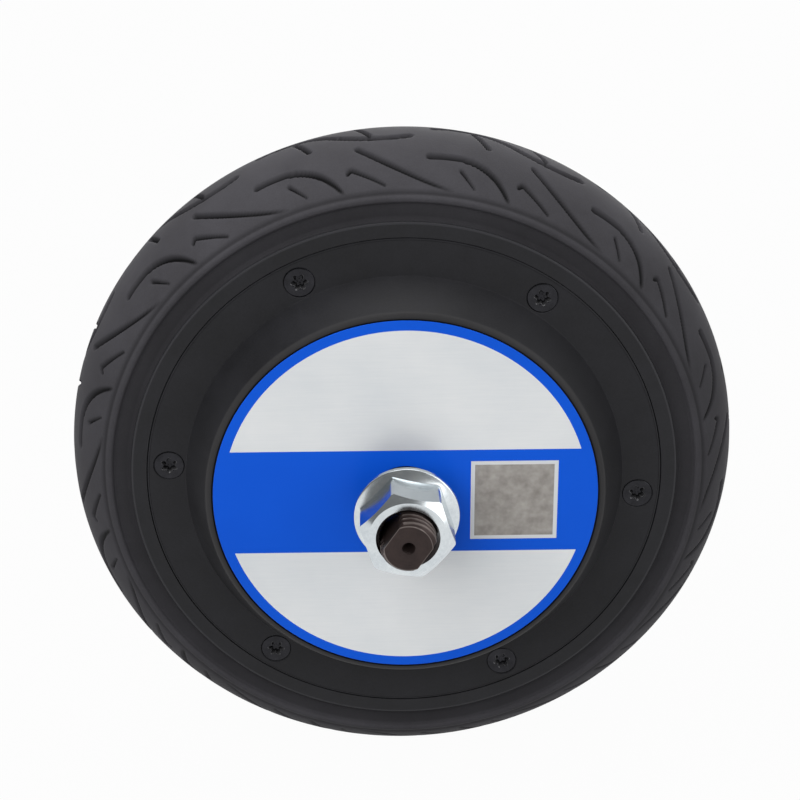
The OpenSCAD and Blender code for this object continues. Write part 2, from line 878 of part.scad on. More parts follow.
module front_axle_nut()
    color("#c3c7cb")
        lay_on_axle()
            translate([0, 0, front_nut_seat])
                rotate([0, 0, nut_turn])
                    flange_nut();

module rear_axle_nut()
    color("#c3c7cb")
        lay_on_axle()
            at_rear()
                translate([0, 0, rear_nut_seat])
                    flange_nut();

// Bearing pieces, drawn about the middle of the bearing
race_share = 0.3;
ball_circle_d = (journal_d + bearing_d) / 2;
race_d = ball_d + 2 * run_gap;
race_ring_t = (bearing_d - journal_d) / 2 * race_share;

module race_ring(outer_d, inner_d)
    difference() {
        tube(outer_d, inner_d, -bearing_w / 2, bearing_w / 2);
        rotate_extrude()
            translate([ball_circle_d / 2, 0])
                circle(d = race_d);
    }

module bearing_inner()
    race_ring(journal_d + 2 * race_ring_t, journal_d + 2 * press_gap);

module bearing_outer()
    race_ring(bearing_d, bearing_d - 2 * race_ring_t);

module bearing_balls()
    ring_of(ball_count)
        translate([ball_circle_d / 2, 0, 0])
            sphere(d = ball_d);

module bearing_cage()
    difference() {
        tube(ball_circle_d + cage_t, ball_circle_d - cage_t, -cage_w / 2, cage_w / 2);
        ring_of(ball_count)
            rotate([0, 90, 0])
                cylinder(d = race_d, h = ball_circle_d);
    }

// Moves a bearing piece to the middle of the front or the rear bearing
module in_front_bearing()
    lay_on_axle()
        translate([0, 0, front_bearing_in + bearing_w / 2])
            children();

module in_rear_bearing()
    lay_on_axle()
        translate([0, 0, -rear_bearing_in - bearing_w / 2])
            children();

module front_bearing_inner()
    color("#b4b8bc")
        in_front_bearing()
            bearing_inner();

module rear_bearing_inner()
    color("#b4b8bc")
        in_rear_bearing()
            bearing_inner();

module front_bearing_outer()
    color("#b4b8bc")
        in_front_bearing()
            bearing_outer();

module rear_bearing_outer()
    color("#b4b8bc")
        in_rear_bearing()
            bearing_outer();

module front_bearing_cage()
    color("#9a7b3c")
        in_front_bearing()
            bearing_cage();

module rear_bearing_cage()
    color("#9a7b3c")
        in_rear_bearing()
            bearing_cage();

module front_bearing_balls()
    color("#d0d3d6")
        in_front_bearing()
            bearing_balls();

module rear_bearing_balls()
    color("#d0d3d6")
        in_rear_bearing()
            bearing_balls();

// Oil seal behind the lip of a boss, with a lip that runs round the journal
module oil_seal(face) {
    seat = face - axle_lip_t;
    rotate_extrude()
        polygon([
            [journal_d / 2 + run_gap, seat - seal_t / 2],
            [journal_d / 2 + 4 * run_gap, seat - seal_t],
            [seal_d / 2, seat - seal_t],
            [seal_d / 2, seat],
            [journal_d / 2 + 8 * run_gap, seat]
        ]);
}

module front_oil_seal()
    color("#1f1f20")
        lay_on_axle()
            oil_seal(front_boss_face);

module rear_oil_seal()
    color("#1f1f20")
        lay_on_axle()
            at_rear()
                oil_seal(rear_boss_face);

module encoder_posts()
    color("#c9a44c")
        lay_on_axle()
            ring_of(encoder_posts_count)
                translate([post_circle_d / 2, 0, 0])
                    tube(encoder_post_d, encoder_screw_d + 2 * run_gap, hub_half, encoder_board_seat);

module encoder_board()
    color("#1f6b3a")
        lay_on_axle()
            difference() {
                tube(encoder_board_d, encoder_board_hole_d, encoder_board_seat, encoder_board_face);
                ring_of(encoder_posts_count)
                    translate([post_circle_d / 2, 0, encoder_board_seat - overshoot])
                        cylinder(d = encoder_screw_d + 2 * run_gap, h = board_t + 2 * overshoot);
            }

// Pan-head screws through the encoder board and its posts
module encoder_board_screws()
    color("#9fa2a6")
        lay_on_axle()
            ring_of(encoder_posts_count)
                translate([post_circle_d / 2, 0, 0]) {
                    translate([0, 0, encoder_board_face])
                        cylinder(d = encoder_post_d - 2 * run_gap, h = encoder_screw_h);
                    translate([0, 0, hub_half - encoder_screw_d])
                        cylinder(d = encoder_screw_d, h = encoder_post_l + board_t + encoder_screw_d + encoder_screw_h / 2);
                }

module encoder_reader()
    color("#202124")
        lay_on_axle()
            rotate([0, 0, 90])
                translate([code_disc_d / 2 - reader_w, -reader_w / 2, encoder_board_face])
                    cube([reader_w, reader_w, reader_h]);

module code_disc()
    color("#c8cdd2")
        lay_on_axle()
            tube(code_disc_d, code_disc_hole_d, code_disc_seat, code_disc_face);

module code_disc_ring()
    color("#a9acb0")
        lay_on_axle()
            tube(seat_hub_d + 2 * disc_ring_w, seat_hub_d + 2 * press_gap, code_disc_face, code_disc_face + disc_ring_t);

// Hall sensor board: an arc that lies on the fence of the rear insulator
module hall_board()
    color("#1f6b3a")
        lay_on_axle()
            translate([0, 0, -fence_end - board_t])
                rotate([0, 0, 90 - hall_arc / 2])
                    rotate_extrude(angle = hall_arc)
                        translate([fence_inner_r - overshoot, 0])
                            square([stator_d / 2 - hall_tip_gap - fence_inner_r + overshoot, board_t]);

module hall_sensors()
    color("#202124")
        lay_on_axle()
            for (i = [-(hall_count - 1) / 2 : (hall_count - 1) / 2])
                rotate([0, 0, 90 + i * hall_turn])
                    translate([stator_d / 2 - hall_tip_gap - hall_size.y, -hall_size.x / 2, -fence_end])
                        cube([hall_size.y, hall_size.x, hall_size.z]);

axle();
front_axle_nut();
rear_axle_nut();
stator_hub();
stator_key();
stator_circlips();
stator_core();
front_slot_insulator();
rear_slot_insulator();
windings();
hall_board();
hall_sensors();
encoder_board();
encoder_posts();
encoder_board_screws();
encoder_reader();
front_bearing_inner();
rear_bearing_inner();
lead_grommet();
tyre();
rim();
back_iron_ring();
magnets();
front_cover();
rear_cover();
front_cover_screws();
rear_cover_screws();
front_gasket();
rear_gasket();
name_plate();
front_oil_seal();
rear_oil_seal();
front_bearing_outer();
rear_bearing_outer();
code_disc();
code_disc_ring();
front_bearing_cage();
rear_bearing_cage();
front_bearing_balls();
rear_bearing_balls();
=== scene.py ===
"""Looks of a hub motor drive wheel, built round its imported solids.

Lengths are in millimetres in the wheel's own frame until a mesh is made: a radius from the axle, a turn in
degrees from +X towards +Z as seen from the front, and a distance along the axle that grows towards the front,
which is -Y.
"""
import logging
import math
from dataclasses import dataclass, field
from enum import Enum

import bmesh
import bpy
import numpy as np
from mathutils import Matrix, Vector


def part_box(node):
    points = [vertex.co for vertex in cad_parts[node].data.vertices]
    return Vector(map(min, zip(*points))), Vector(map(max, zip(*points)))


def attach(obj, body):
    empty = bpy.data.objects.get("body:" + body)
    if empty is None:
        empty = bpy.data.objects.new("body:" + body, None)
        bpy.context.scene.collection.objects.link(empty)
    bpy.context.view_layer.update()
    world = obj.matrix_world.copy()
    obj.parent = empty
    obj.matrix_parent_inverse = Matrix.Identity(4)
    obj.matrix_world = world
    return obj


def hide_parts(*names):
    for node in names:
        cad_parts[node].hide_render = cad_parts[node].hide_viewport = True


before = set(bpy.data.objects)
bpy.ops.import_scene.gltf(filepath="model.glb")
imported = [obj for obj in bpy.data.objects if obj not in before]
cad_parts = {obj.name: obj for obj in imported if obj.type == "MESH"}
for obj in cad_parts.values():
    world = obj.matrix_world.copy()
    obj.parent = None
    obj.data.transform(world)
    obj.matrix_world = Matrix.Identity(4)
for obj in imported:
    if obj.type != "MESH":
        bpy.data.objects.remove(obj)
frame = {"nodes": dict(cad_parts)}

LOG = logging.getLogger("drive_wheel")
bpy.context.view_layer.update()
MM = 0.001
WELD_MM = 0.002
FULL_TURN = 360
WHITE = (1, 1, 1, 1)
# Attribute of the meshes that carries painted shade on the tyre and painted highlights on edges
MARK = "mark"
# Share of a fillet's length past its ends at which a point keeps the straight beside it flat
FLAT_SHARE = 0.25
COLOUR_MIX = {"data_type": "RGBA"}
# Sockets of a Mix node: the ends and the output of a colour mix, and the ends of a mix of numbers
COLOUR_A = 6
COLOUR_B = 7
COLOUR_OUT = 2
NUMBER_A = 2
NUMBER_B = 3

Corner = tuple[float, float, float]
Place = tuple[float, float, float]


class Side(Enum):
    """The two sides of the wheel, with the sign of the distance along the axle."""

    FRONT = 1
    REAR = -1

    @property
    def word(self) -> str:
        """Name of the side as the nodes spell it."""
        return self.name.lower()


class Grain(Enum):
    """How the grain of a surface lies."""

    EVEN = "the same in every direction"
    TURNED = "rings round the axle, as a lathe leaves them"
    STACKED = "layers along the axle"


@dataclass(frozen=True)
class Extent:
    """Reach of a solid: its radius, and how far its nearer and its farther end lie from the middle."""

    radius: float
    near: float
    far: float

    @classmethod
    def of(cls, node: str) -> "Extent":
        """Measure the box of a node at rest.

        Args:
            node: Name of the node in the frame.

        Returns:
            Its reach to a hundredth of a millimetre.
        """
        low, high = np.array(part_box(node)) / MM
        near, far = sorted((abs(low[1]), abs(high[1])))
        return cls(*np.round([max(high[0], high[2]), near, far], 2).tolist())


def srgb(code: str) -> tuple[float, float, float, float]:
    """Turn an sRGB hex colour into linear light.

    A part of at most 0.04045 is divided by 12.92. A larger one has 0.055 added, is divided by 1.055 and
    raised to the power 2.4.

    Args:
        code: Colour such as "#1950CD".

    Returns:
        Linear red, green, blue and an alpha of one.
    """
    parts = np.array([int(code[i:i + 2], 16) for i in (1, 3, 5)]) / 255
    linear = np.where(parts <= 0.04045, parts / 12.92, ((parts + 0.055) / 1.055) ** 2.4)
    return (*linear.tolist(), 1.0)


def per_mm(size: float) -> float:
    """Scale of a pattern whose features are about this many millimetres wide, on coordinates in metres."""
    return 1 / (size * MM)


def smooth_step(value: np.ndarray) -> np.ndarray:
    """Ease from 0 to 1: three times the square less twice the cube of the value held between 0 and 1."""
    held = np.clip(value, 0, 1)
    return held * held * (3 - 2 * held)


def around(columns: int, first: float = 0) -> np.ndarray:
    """Turns of evenly spaced columns round the axle, starting from the first."""
    return first + np.arange(columns) * FULL_TURN / columns


def on_axle(radius: np.ndarray, turn: np.ndarray, along: np.ndarray) -> np.ndarray:
    """Points in the wheel's cylindrical frame, in metres.

    x is the radius times the cosine of the turn, y is the distance along the axle reversed, and z is the
    radius times the sine of the turn.

    Args:
        radius: Distances from the axle in millimetres.
        turn: Angles in degrees.
        along: Distances along the axle in millimetres.

    Returns:
        Array of the broadcast shape with a last axis of three.
    """
    radius, turn, along = np.broadcast_arrays(radius, np.radians(turn), along)
    return np.stack([radius * np.cos(turn), -along, radius * np.sin(turn)], -1) * MM


def outline(corners: list[Corner], steps: int = 5) -> np.ndarray:
    """Round the corners of an open outline.

    Each corner with a fillet is replaced by a parabola from one fillet length before it to one after it,
    whose point at s is (1-s)(1-s) times the start, 2s(1-s) times the corner and s*s times the end. A point on
    the straight next to each fillet keeps the flats flat.

    Args:
        corners: Radius, distance along the axle and fillet length of each corner.
        steps: Segments of one fillet.

    Returns:
        Array of points, each a radius and a distance along the axle.
    """
    points = np.array([corner[:2] for corner in corners], float)
    share = np.linspace(0, 1, steps + 1)[:, None]
    rows = [points[:1]]
    for before, corner, after, (_, _, fillet) in zip(points, points[1:], points[2:], corners[1:]):
        if fillet == 0:
            rows.append(corner[None])
            continue
        back = (before - corner) / np.linalg.norm(before - corner)
        ahead = (after - corner) / np.linalg.norm(after - corner)
        start = corner + back * fillet
        end = corner + ahead * fillet
        bend = (1 - share) ** 2 * start + 2 * share * (1 - share) * corner + share ** 2 * end
        flat = fillet * FLAT_SHARE
        rows.append(np.vstack([start + back * flat, bend, end + ahead * flat]))
    rows.append(points[-1:])
    return np.vstack(rows)


def facing(place: Place) -> list[list[float]]:
    """Pose that faces the middle of the wheel.

    The third axis points from the wheel to the place, the first one is level, and the second is square to
    both.

    Args:
        place: Point in millimetres.

    Returns:
        Columns of the matrix of the pose.
    """
    back = np.array(place) / np.linalg.norm(place)
    right = np.cross([0, 0, 1], back)
    right /= np.linalg.norm(right)
    pose = np.eye(4)
    pose[:3, :3] = np.stack([right, np.cross(back, right), back], 1)
    pose[:3, 3] = np.array(place) * MM
    return pose.T.tolist()


def put_in_scene(name: str, data: bpy.types.ID) -> bpy.types.Object:
    """Make an object at the origin of the scene.

    Args:
        name: Name of the object.
        data: Mesh, camera or light of the object.

    Returns:
        The new object.
    """
    thing = bpy.data.objects.new(name, data)
    bpy.context.scene.collection.objects.link(thing)
    return thing


class Shell:
    """Grids of points that are joined into one closed mesh."""

    def __init__(self, name: str) -> None:
        """Start an empty shell.

        Args:
            name: Name of its piece.
        """
        self.name = name
        self.points: list[np.ndarray] = []
        self.faces: list[np.ndarray] = []
        self.marks: list[np.ndarray] = []
        self.count = 0

    def grid(self, points: np.ndarray, ring: bool = True, mark: np.ndarray | None = None) -> None:
        """Add a grid whose faces join each point to its neighbours in the next row and column.

        Args:
            points: Array of rows by columns by three, in metres.
            ring: Whether the last column joins the first.
            mark: Value of each point, kept as an attribute.
        """
        rows, columns = points.shape[:2]
        index = np.arange(rows * columns).reshape(rows, columns) + self.count
        if ring:
            index = np.hstack([index, index[:, :1]])
        quads = np.stack([index[:-1, :-1], index[1:, :-1], index[1:, 1:], index[:-1, 1:]], -1)
        self.points.append(points.reshape(-1, 3))
        self.faces.append(quads.reshape(-1, 4))
        self.marks.append(np.zeros(rows * columns) if mark is None else mark.reshape(-1))
        self.count += rows * columns

    def revolve(self, profile: np.ndarray, turn: np.ndarray, mark: np.ndarray | None = None) -> None:
        """Carry a profile of radii and distances along the axle, with its marks, round the axle."""
        marks = None if mark is None else mark[:, None] * np.ones(len(turn))
        self.grid(on_axle(profile[:, :1], turn[None], profile[:, 1:]), mark=marks)

    def build(self, body: str, material: bpy.types.Material, sharp: float = 35) -> bpy.types.Object:
        """Weld the grids, turn the faces outwards and let the piece ride on a body.

        Args:
            body: Body of the frame that carries the piece.
            material: Finish of the piece.
            sharp: Angle in degrees past which an edge stays sharp.

        Returns:
            The object of the piece.
        """
        mesh = bpy.data.meshes.new(self.name)
        mesh.from_pydata(np.vstack(self.points).tolist(), [], np.vstack(self.faces).tolist())
        mark = mesh.attributes.new(MARK, "FLOAT", "POINT")
        mark.data.foreach_set("value", np.concatenate(self.marks).astype(np.float32))
        shape = bmesh.new()
        shape.from_mesh(mesh)
        bmesh.ops.remove_doubles(shape, verts=shape.verts, dist=WELD_MM * MM)
        bmesh.ops.recalc_face_normals(shape, faces=shape.faces)
        shape.to_mesh(mesh)
        shape.free()
        mesh.polygons.foreach_set("use_smooth", np.ones(len(mesh.polygons), bool))
        mesh.set_sharp_from_angle(angle=math.radians(sharp))
        mesh.materials.append(material)
        piece = put_in_scene(self.name, mesh)
        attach(piece, body)
        LOG.info("%s: %d faces on %s", self.name, len(mesh.polygons), body)
        return piece


def add_node(tree: bpy.types.NodeTree, kind: str, settings: dict | None = None,
             links: dict | None = None) -> bpy.types.Node:
    """Add a node with its settings and links.

    Args:
        tree: Tree that takes the node.
        kind: Type of the node without its prefix.
        settings: Properties or socket values by name or socket number.
        links: Nodes, whose first output is taken, or sockets that feed the node's sockets.

    Returns:
        The new node.
    """
    node = tree.nodes.new("ShaderNode" + kind)
    for key, value in (settings or {}).items():
        if isinstance(key, str) and key in node.bl_rna.properties:
            setattr(node, key, value)
        else:
            node.inputs[key].default_value = value
    feed(tree, node, links or {})
    return node


def feed(tree: bpy.types.NodeTree, node: bpy.types.Node, links: dict) -> None:
    """Feed the sockets of a node from other nodes' first outputs or from sockets."""
    for key, source in links.items():
        tree.links.new(source.outputs[0] if isinstance(source, bpy.types.Node) else source, node.inputs[key])


class Shader:
    """Node tree of one material."""

    def __init__(self, name: str, **constants: float | tuple[float, ...]) -> None:
        """Start a material.

        Args:
            name: Name of the material.
            **constants: Values of the shader's own sockets, with underscores for spaces.
        """
        self.material = bpy.data.materials.new(name)
        self.material.use_nodes = True
        self.tree = self.material.node_tree
        self.surface = self.tree.nodes["Principled BSDF"]
        for socket, value in constants.items():
            self.surface.inputs[socket.replace("_", " ")].default_value = value
        self.place = self.add("TexCoord").outputs["Object"]

    def add(self, kind: str, settings: dict | None = None, links: dict | None = None) -> bpy.types.Node:
        """Add a node to this material."""
        return add_node(self.tree, kind, settings, links)

    def link(self, node: bpy.types.Node, links: dict) -> None:
        """Feed the sockets of a node of this material."""
        feed(self.tree, node, links)

    def grained(self, grain: Grain) -> bpy.types.NodeSocket:
        """Coordinates along which a grain varies.

        Args:
            grain: How the grain lies.

        Returns:
            Object coordinates, or the distances from and along the axle on which rings and layers depend.
        """
        if grain is Grain.EVEN:
            return self.place
        axes = self.add("SeparateXYZ", links={0: self.place})
        links = {"Y": axes.outputs["Y"]}
        if grain is Grain.TURNED:
            flat = self.add("CombineXYZ", links={"X": axes.outputs["X"], "Z": axes.outputs["Z"]})
            links["X"] = self.add("VectorMath", {"operation": "LENGTH"}, {0: flat}).outputs["Value"]
        return self.add("CombineXYZ", links=links).outputs[0]


@dataclass(frozen=True)
class Finish:
    """A surface of two tones, with a grain that varies its gloss and its height.

    The tones drift over tone_mm, and a share of the grain of grain_mm is added. Over the spread of that sum,
    the tone goes from dark to light and the gloss from the first roughness to the second, unless the gloss
    follows the grain alone. The grain gives the bump. Where the mark rises to 1, the tone is the marked one.
    """

    name: str
    dark: str
    light: str
    rough: tuple[float, float]
    grain_mm: float
    bump_mm: float
    tone_mm: float = 14
    metallic: float = 0
    specular: float = 0.5
    grain: Grain = Grain.EVEN
    anisotropic: float = 0
    marked: str = ""
    grain_detail: float = 3
    grain_rough: float = 0.5
    grain_share: float = 0.45
    grain_gloss: bool = False
    tone_detail: float = 5
    tone_rough: float = 0.6
    spread: tuple[float, float] = (0.45, 1.0)
    bump_strength: float = 1

    def material(self) -> bpy.types.Material:
        """Make the material once.

        Returns:
            Material that all pieces of this finish share.
        """
        known = bpy.data.materials.get(self.name)
        if known:
            return known
        shader = Shader(self.name, Metallic=self.metallic, Specular_IOR_Level=self.specular,
                        Anisotropic=self.anisotropic)
        drift = shader.add("TexNoise", {"Scale": per_mm(self.tone_mm), "Detail": self.tone_detail,
                                        "Roughness": self.tone_rough}, {"Vector": shader.place})
        grain = shader.add("TexNoise", {"Scale": per_mm(self.grain_mm), "Detail": self.grain_detail,
                                        "Roughness": self.grain_rough},
                           {"Vector": shader.grained(self.grain)})
        both = shader.add("Math", {"operation": "MULTIPLY_ADD", 1: self.grain_share}, {0: grain, 2: drift})
        limits = {"From Min": self.spread[0], "From Max": self.spread[1]}
        share = shader.add("MapRange", limits, {"Value": both})
        ends = {COLOUR_A: srgb(self.dark), COLOUR_B: srgb(self.light)}
        tone = shader.add("Mix", COLOUR_MIX | ends, {0: share}).outputs[COLOUR_OUT]
        if self.marked:
            mark = shader.add("Attribute", {"attribute_name": MARK}).outputs["Fac"]
            mixed = shader.add("Mix", COLOUR_MIX | {COLOUR_B: srgb(self.marked)}, {0: mark, COLOUR_A: tone})
            tone = mixed.outputs[COLOUR_OUT]
        roughness = {"To Min": self.rough[0], "To Max": self.rough[1]}
        if self.grain_gloss:
            gloss = shader.add("MapRange", roughness, {"Value": grain})
        else:
            gloss = shader.add("MapRange", limits | roughness, {"Value": both})
        bump = shader.add("Bump", {"Strength": self.bump_strength, "Distance": self.bump_mm * MM},
                          {"Height": grain})
        shader.link(shader.surface, {"Base Color": tone, "Roughness": gloss, "Normal": bump})
        return shader.material


@dataclass(frozen=True)
class PlateFilm:
    """Screen-printed polyester film with a satin silver ground: blue ring, blue band and a grey square.

    The print has soft-edged gloss changes from handling, the ink stands a little proud, and the silver has a
    very fine brushed line, drawn coarser than the real one so that it shows.
    """

    name: str = "printed_silver_film"
    silver: tuple[str, str] = ("#DADEE1", "#E7E9EA")
    blue: tuple[str, str] = ("#0C55D4", "#115DE0")
    pale: str = "#D9DCDF"
    grey: tuple[str, str] = ("#77726D", "#B9B5B0")
    ring_inner: float = 46.0
    band_middle: float = -0.7
    band_half: float = 14.3
    square_at: tuple[float, float] = (27.4, -0.6)
    square_half: float = 11.0
    square_margin: float = 1.0
    drift_mm: float = 26
    drift_detail: float = 4
    mottle_mm: float = 2.2
    brush_mm: float = 0.35
    brush_stretch: float = 0.04
    brush_share: float = 0.25
    spread: tuple[float, float] = (0.4, 0.85)
    silver_metal: float = 0.3
    specular: float = 0.12
    rough: tuple[float, float] = (0.3, 0.42)
    ink_height: float = 0.6
    bump_mm: float = 0.01
    bump_strength: float = 0.3

    def zones(self, shader: Shader) -> list[bpy.types.Node]:
        """Tests on the distance from the axle and on the two axes of the plate.

        Args:
            shader: Material that takes the nodes.

        Returns:
            Nodes that give 1 on the blue print, on the square and on the square within its margin.
        """
        axes = shader.add("SeparateXYZ", links={0: shader.place})
        across, up = axes.outputs["X"], axes.outputs["Z"]
        radius = shader.add("SeparateXYZ", links={0: shader.grained(Grain.TURNED)}).outputs["X"]
        ring = shader.add("Math", {"operation": "GREATER_THAN", 1: self.ring_inner * MM}, {0: radius})
        spans = [(up, self.band_middle, self.band_half)]
        for half in (self.square_half, self.square_half - self.square_margin):
            spans += [(across, self.square_at[0], half), (up, self.square_at[1], half)]
        band, *sides = [
            shader.add("Math", {"operation": "COMPARE", 1: middle * MM, 2: half * MM}, {0: axis})
            for axis, middle, half in spans]
        blue = shader.add("Math", {"operation": "MAXIMUM"}, {0: ring, 1: band})
        return [blue] + [shader.add("Math", {"operation": "MULTIPLY"}, {0: wide, 1: high})
                         for wide, high in (sides[:2], sides[2:])]

    def material(self) -> bpy.types.Material:
        """Make the material: the silver ground, then the blue, the margin and the grey over it.

        Returns:
            Material of the film.
        """
        shader = Shader(self.name, Specular_IOR_Level=self.specular)
        blue, square, inner = self.zones(shader)
        stretch = shader.add("Mapping", {"Scale": (self.brush_stretch, 1, 1)}, {0: shader.place})
        drift = shader.add("TexNoise", {"Scale": per_mm(self.drift_mm), "Detail": self.drift_detail},
                           {"Vector": shader.place})
        mottle = shader.add("TexNoise", {"Scale": per_mm(self.mottle_mm)}, {"Vector": shader.place})
        brush = shader.add("TexNoise", {"Scale": per_mm(self.brush_mm)}, {"Vector": stretch})
        both = shader.add("Math", {"operation": "MULTIPLY_ADD", 1: self.brush_share}, {0: brush, 2: drift})
        share = shader.add("MapRange", {"From Min": self.spread[0], "From Max": self.spread[1]},
                           {"Value": both})
        tone, ink, grey = [
            shader.add("Mix", COLOUR_MIX | {COLOUR_A: srgb(dark), COLOUR_B: srgb(light)},
                       {0: by}).outputs[COLOUR_OUT]
            for (dark, light), by in ((self.silver, share), (self.blue, drift), (self.grey, mottle))]
        layers = (
            (blue, {}, {COLOUR_B: ink}),
            (square, {COLOUR_B: srgb(self.pale)}, {}),
            (inner, {}, {COLOUR_B: grey}))
        for zone, plain, printed in layers:
            links = {0: zone, COLOUR_A: tone} | printed
            tone = shader.add("Mix", COLOUR_MIX | plain, links).outputs[COLOUR_OUT]
        gloss = shader.add("MapRange", {"To Min": self.rough[0], "To Max": self.rough[1]}, {"Value": drift})
        covered = shader.add("Math", {"operation": "MAXIMUM"}, {0: blue, 1: square})
        metal = shader.add("MapRange", {"To Min": self.silver_metal, "To Max": 0}, {"Value": covered})
        raised = shader.add("Math", {"operation": "MULTIPLY_ADD", 1: self.ink_height}, {0: blue, 2: brush})
        bump = shader.add("Bump", {"Strength": self.bump_strength, "Distance": self.bump_mm * MM},
                          {"Height": raised})
        shader.link(shader.surface, {"Base Color": tone, "Roughness": gloss, "Normal": bump,
                                     "Metallic": metal})
        return shader.material


# Carbon-filled rubber from a blasted steel mould: a dull dark grey with a fine even grain. The near-black
# marked tone is painted shade on the groove floors, in the dip beside the rib and on the sidewall
TYRE_RUBBER = Finish("moulded_tyre_rubber", "#38373A", "#444347", (0.55, 0.8), grain_mm=0.45, bump_mm=0.05,
                     tone_mm=22, specular=0.11, marked="#0B0B0C", grain_detail=4, grain_rough=0.6,
                     grain_share=0.5, grain_gloss=True, tone_detail=6, tone_rough=0.65, spread=(0.5, 1.0),
                     bump_strength=0.8)
# Powder coat on cast aluminium: black, half matt, with a fine orange peel; the greyer marked tone is a
# painted highlight on the boss's upper edge
BLACK_COAT = Finish("black_powder_coat", "#1E1E20", "#28282B", (0.38, 0.52), grain_mm=0.5, bump_mm=0.02,
                    specular=0.17, marked="#444343")
# The same coat on the turned rim, a little smoother; the marked tone is a painted highlight on the lip's edge
RIM_COAT = Finish("black_rim_coat", "#1C1C1E", "#262629", (0.32, 0.46), grain_mm=0.7, bump_mm=0.012,
                  specular=0.2, marked="#353538")
# Bright zinc plate over machined steel: clear highlights, faint clouding
ZINC_PLATE = Finish("bright_zinc_plate", "#C6CDD2", "#DFE5E7", (0.14, 0.26), grain_mm=0.9, bump_mm=0.002,
                    tone_mm=7, metallic=1)
# Black oxide on steel rubbed with oil: dark brown-black with a soft metal gloss and turning marks
# The pale marked tone is a painted highlight on the thread crests and the edge of the tip
BLACK_OXIDE = Finish("black_oxide_steel", "#2A2221", "#3D3230", (0.26, 0.4), grain_mm=0.3, bump_mm=0.003,
                     tone_mm=4, metallic=0.7, grain=Grain.TURNED, marked="#A79D98")
# Black oxide on the cold-headed cover screws: smoother, with a painted highlight in the pale marked tone
# round the drive
SCREW_OXIDE = Finish("black_oxide_screw", "#1E1E21", "#303034", (0.16, 0.28), grain_mm=0.5, bump_mm=0.004,
                     tone_mm=3, metallic=0.8, marked="#B9B9BC")
# Machined aluminium with turning marks that draw its highlights out
TURNED_ALUMINIUM = Finish("turned_aluminium", "#A5A7A9", "#C6C7C8", (0.22, 0.4), grain_mm=0.25, bump_mm=0.006,
                          tone_mm=9, metallic=1, grain=Grain.TURNED, anisotropic=0.4)
# Hardened and ground bearing steel, nearly a mirror
GROUND_STEEL = Finish("ground_bearing_steel", "#B4B6B8", "#D2D3D4", (0.08, 0.18), grain_mm=0.2, bump_mm=0.002,
                      tone_mm=8, metallic=1, grain=Grain.TURNED)
# Punched electrical sheets, seen as thin layers along the axle
SHEET_STACK = Finish("electrical_sheet_stack", "#54565A", "#8A8C90", (0.3, 0.5), grain_mm=0.5, bump_mm=0.03,
                     tone_mm=6, metallic=1, grain=Grain.STACKED)
# Low-carbon steel with a phosphate coat: dull grey
PLAIN_STEEL = Finish("phosphated_steel", "#5B5D61", "#7B7D82", (0.35, 0.55), grain_mm=0.4, bump_mm=0.006,
                     tone_mm=7, metallic=0.9, grain=Grain.TURNED)
# Glass-filled nylon, moulded white with a faint cream tone
NYLON = Finish("moulded_nylon", "#D9D5C6", "#E8E5DA", (0.42, 0.58), grain_mm=0.8, bump_mm=0.01, tone_mm=10,
               specular=0.4)
# Enamelled copper wire, wound in layers: a red-brown metal under clear lacquer
COPPER_WIRE = Finish("enamelled_copper_wire", "#8A3F17", "#C46A2E", (0.2, 0.36), grain_mm=0.6, bump_mm=0.08,
                     tone_mm=6, metallic=0.85)
# Glass-fibre circuit board under green solder resist
BOARD = Finish("green_circuit_board", "#0B4A26", "#146B38", (0.28, 0.42), grain_mm=0.6, bump_mm=0.008,
               tone_mm=5)
# Moulded epoxy of the chip packages: black and matt
CHIP_EPOXY = Finish("chip_epoxy", "#141415", "#232325", (0.4, 0.6), grain_mm=0.2, bump_mm=0.006, tone_mm=3)
# Turned brass: yellow and bright
BRASS = Finish("turned_brass", "#A57F35", "#C9A351", (0.2, 0.34), grain_mm=0.3, bump_mm=0.004, tone_mm=5,
               metallic=1)
# Moulded nitrile rubber of the seals, gaskets and grommet: black and dull
NITRILE = Finish("nitrile_rubber", "#151516", "#222223", (0.5, 0.7), grain_mm=0.35, bump_mm=0.012, tone_mm=6,
                 specular=0.3)
# Nickel plate on the magnets: a warm grey shine
NICKEL = Finish("nickel_plate", "#A9A79F", "#C9C7BF", (0.14, 0.26), grain_mm=0.6, bump_mm=0.003, tone_mm=8,
                metallic=1)


@dataclass(frozen=True)
class Groove:
    """Groove of the tread with round ends, in the plane that faces out at its turn."""

    turn: float
    width: float

    def course(self, across: np.ndarray, along: np.ndarray) -> tuple[np.ndarray, np.ndarray]:
        """Distances of points from the groove's middle line and, measured along it, past its nearer end."""
        raise NotImplementedError

    def edge(self, across: np.ndarray, along: np.ndarray) -> np.ndarray:
        """Distance to the groove's edge, less than nothing inside it.

        From half a width short of either end, the distances from the middle line and past that point are
        taken as the two sides of a right angle, and elsewhere the first alone. Half the width is taken off.

        Args:
            across: Distances round the tyre in the groove's plane.
            along: Distances along the axle.

        Returns:
            Signed distances in millimetres.
        """
        aside, past = self.course(across, along)
        return np.hypot(aside, np.maximum(past + self.width / 2, 0)) - self.width / 2


@dataclass(frozen=True)
class ArcGroove(Groove):
    """Groove along an arc, from a first angle over a span in degrees."""

    centre: tuple[float, float]
    bend: float
    arc: tuple[float, float]

    def course(self, across: np.ndarray, along: np.ndarray) -> tuple[np.ndarray, np.ndarray]:
        """Distance from the centre less the bend, and the angle past half the span as a length of arc.

        Args:
            across: Distances round the tyre in the groove's plane.
            along: Distances along the axle.

        Returns:
            Distances from the middle line and past its nearer end.
        """
        first, span = self.arc
        x, y = across - self.centre[0], along - self.centre[1]
        angle = (np.degrees(np.arctan2(y, x)) - first - span / 2 + FULL_TURN / 2) % FULL_TURN
        angle -= FULL_TURN / 2
        return np.hypot(x, y) - self.bend, (np.abs(angle) - span / 2) * math.radians(1) * self.bend


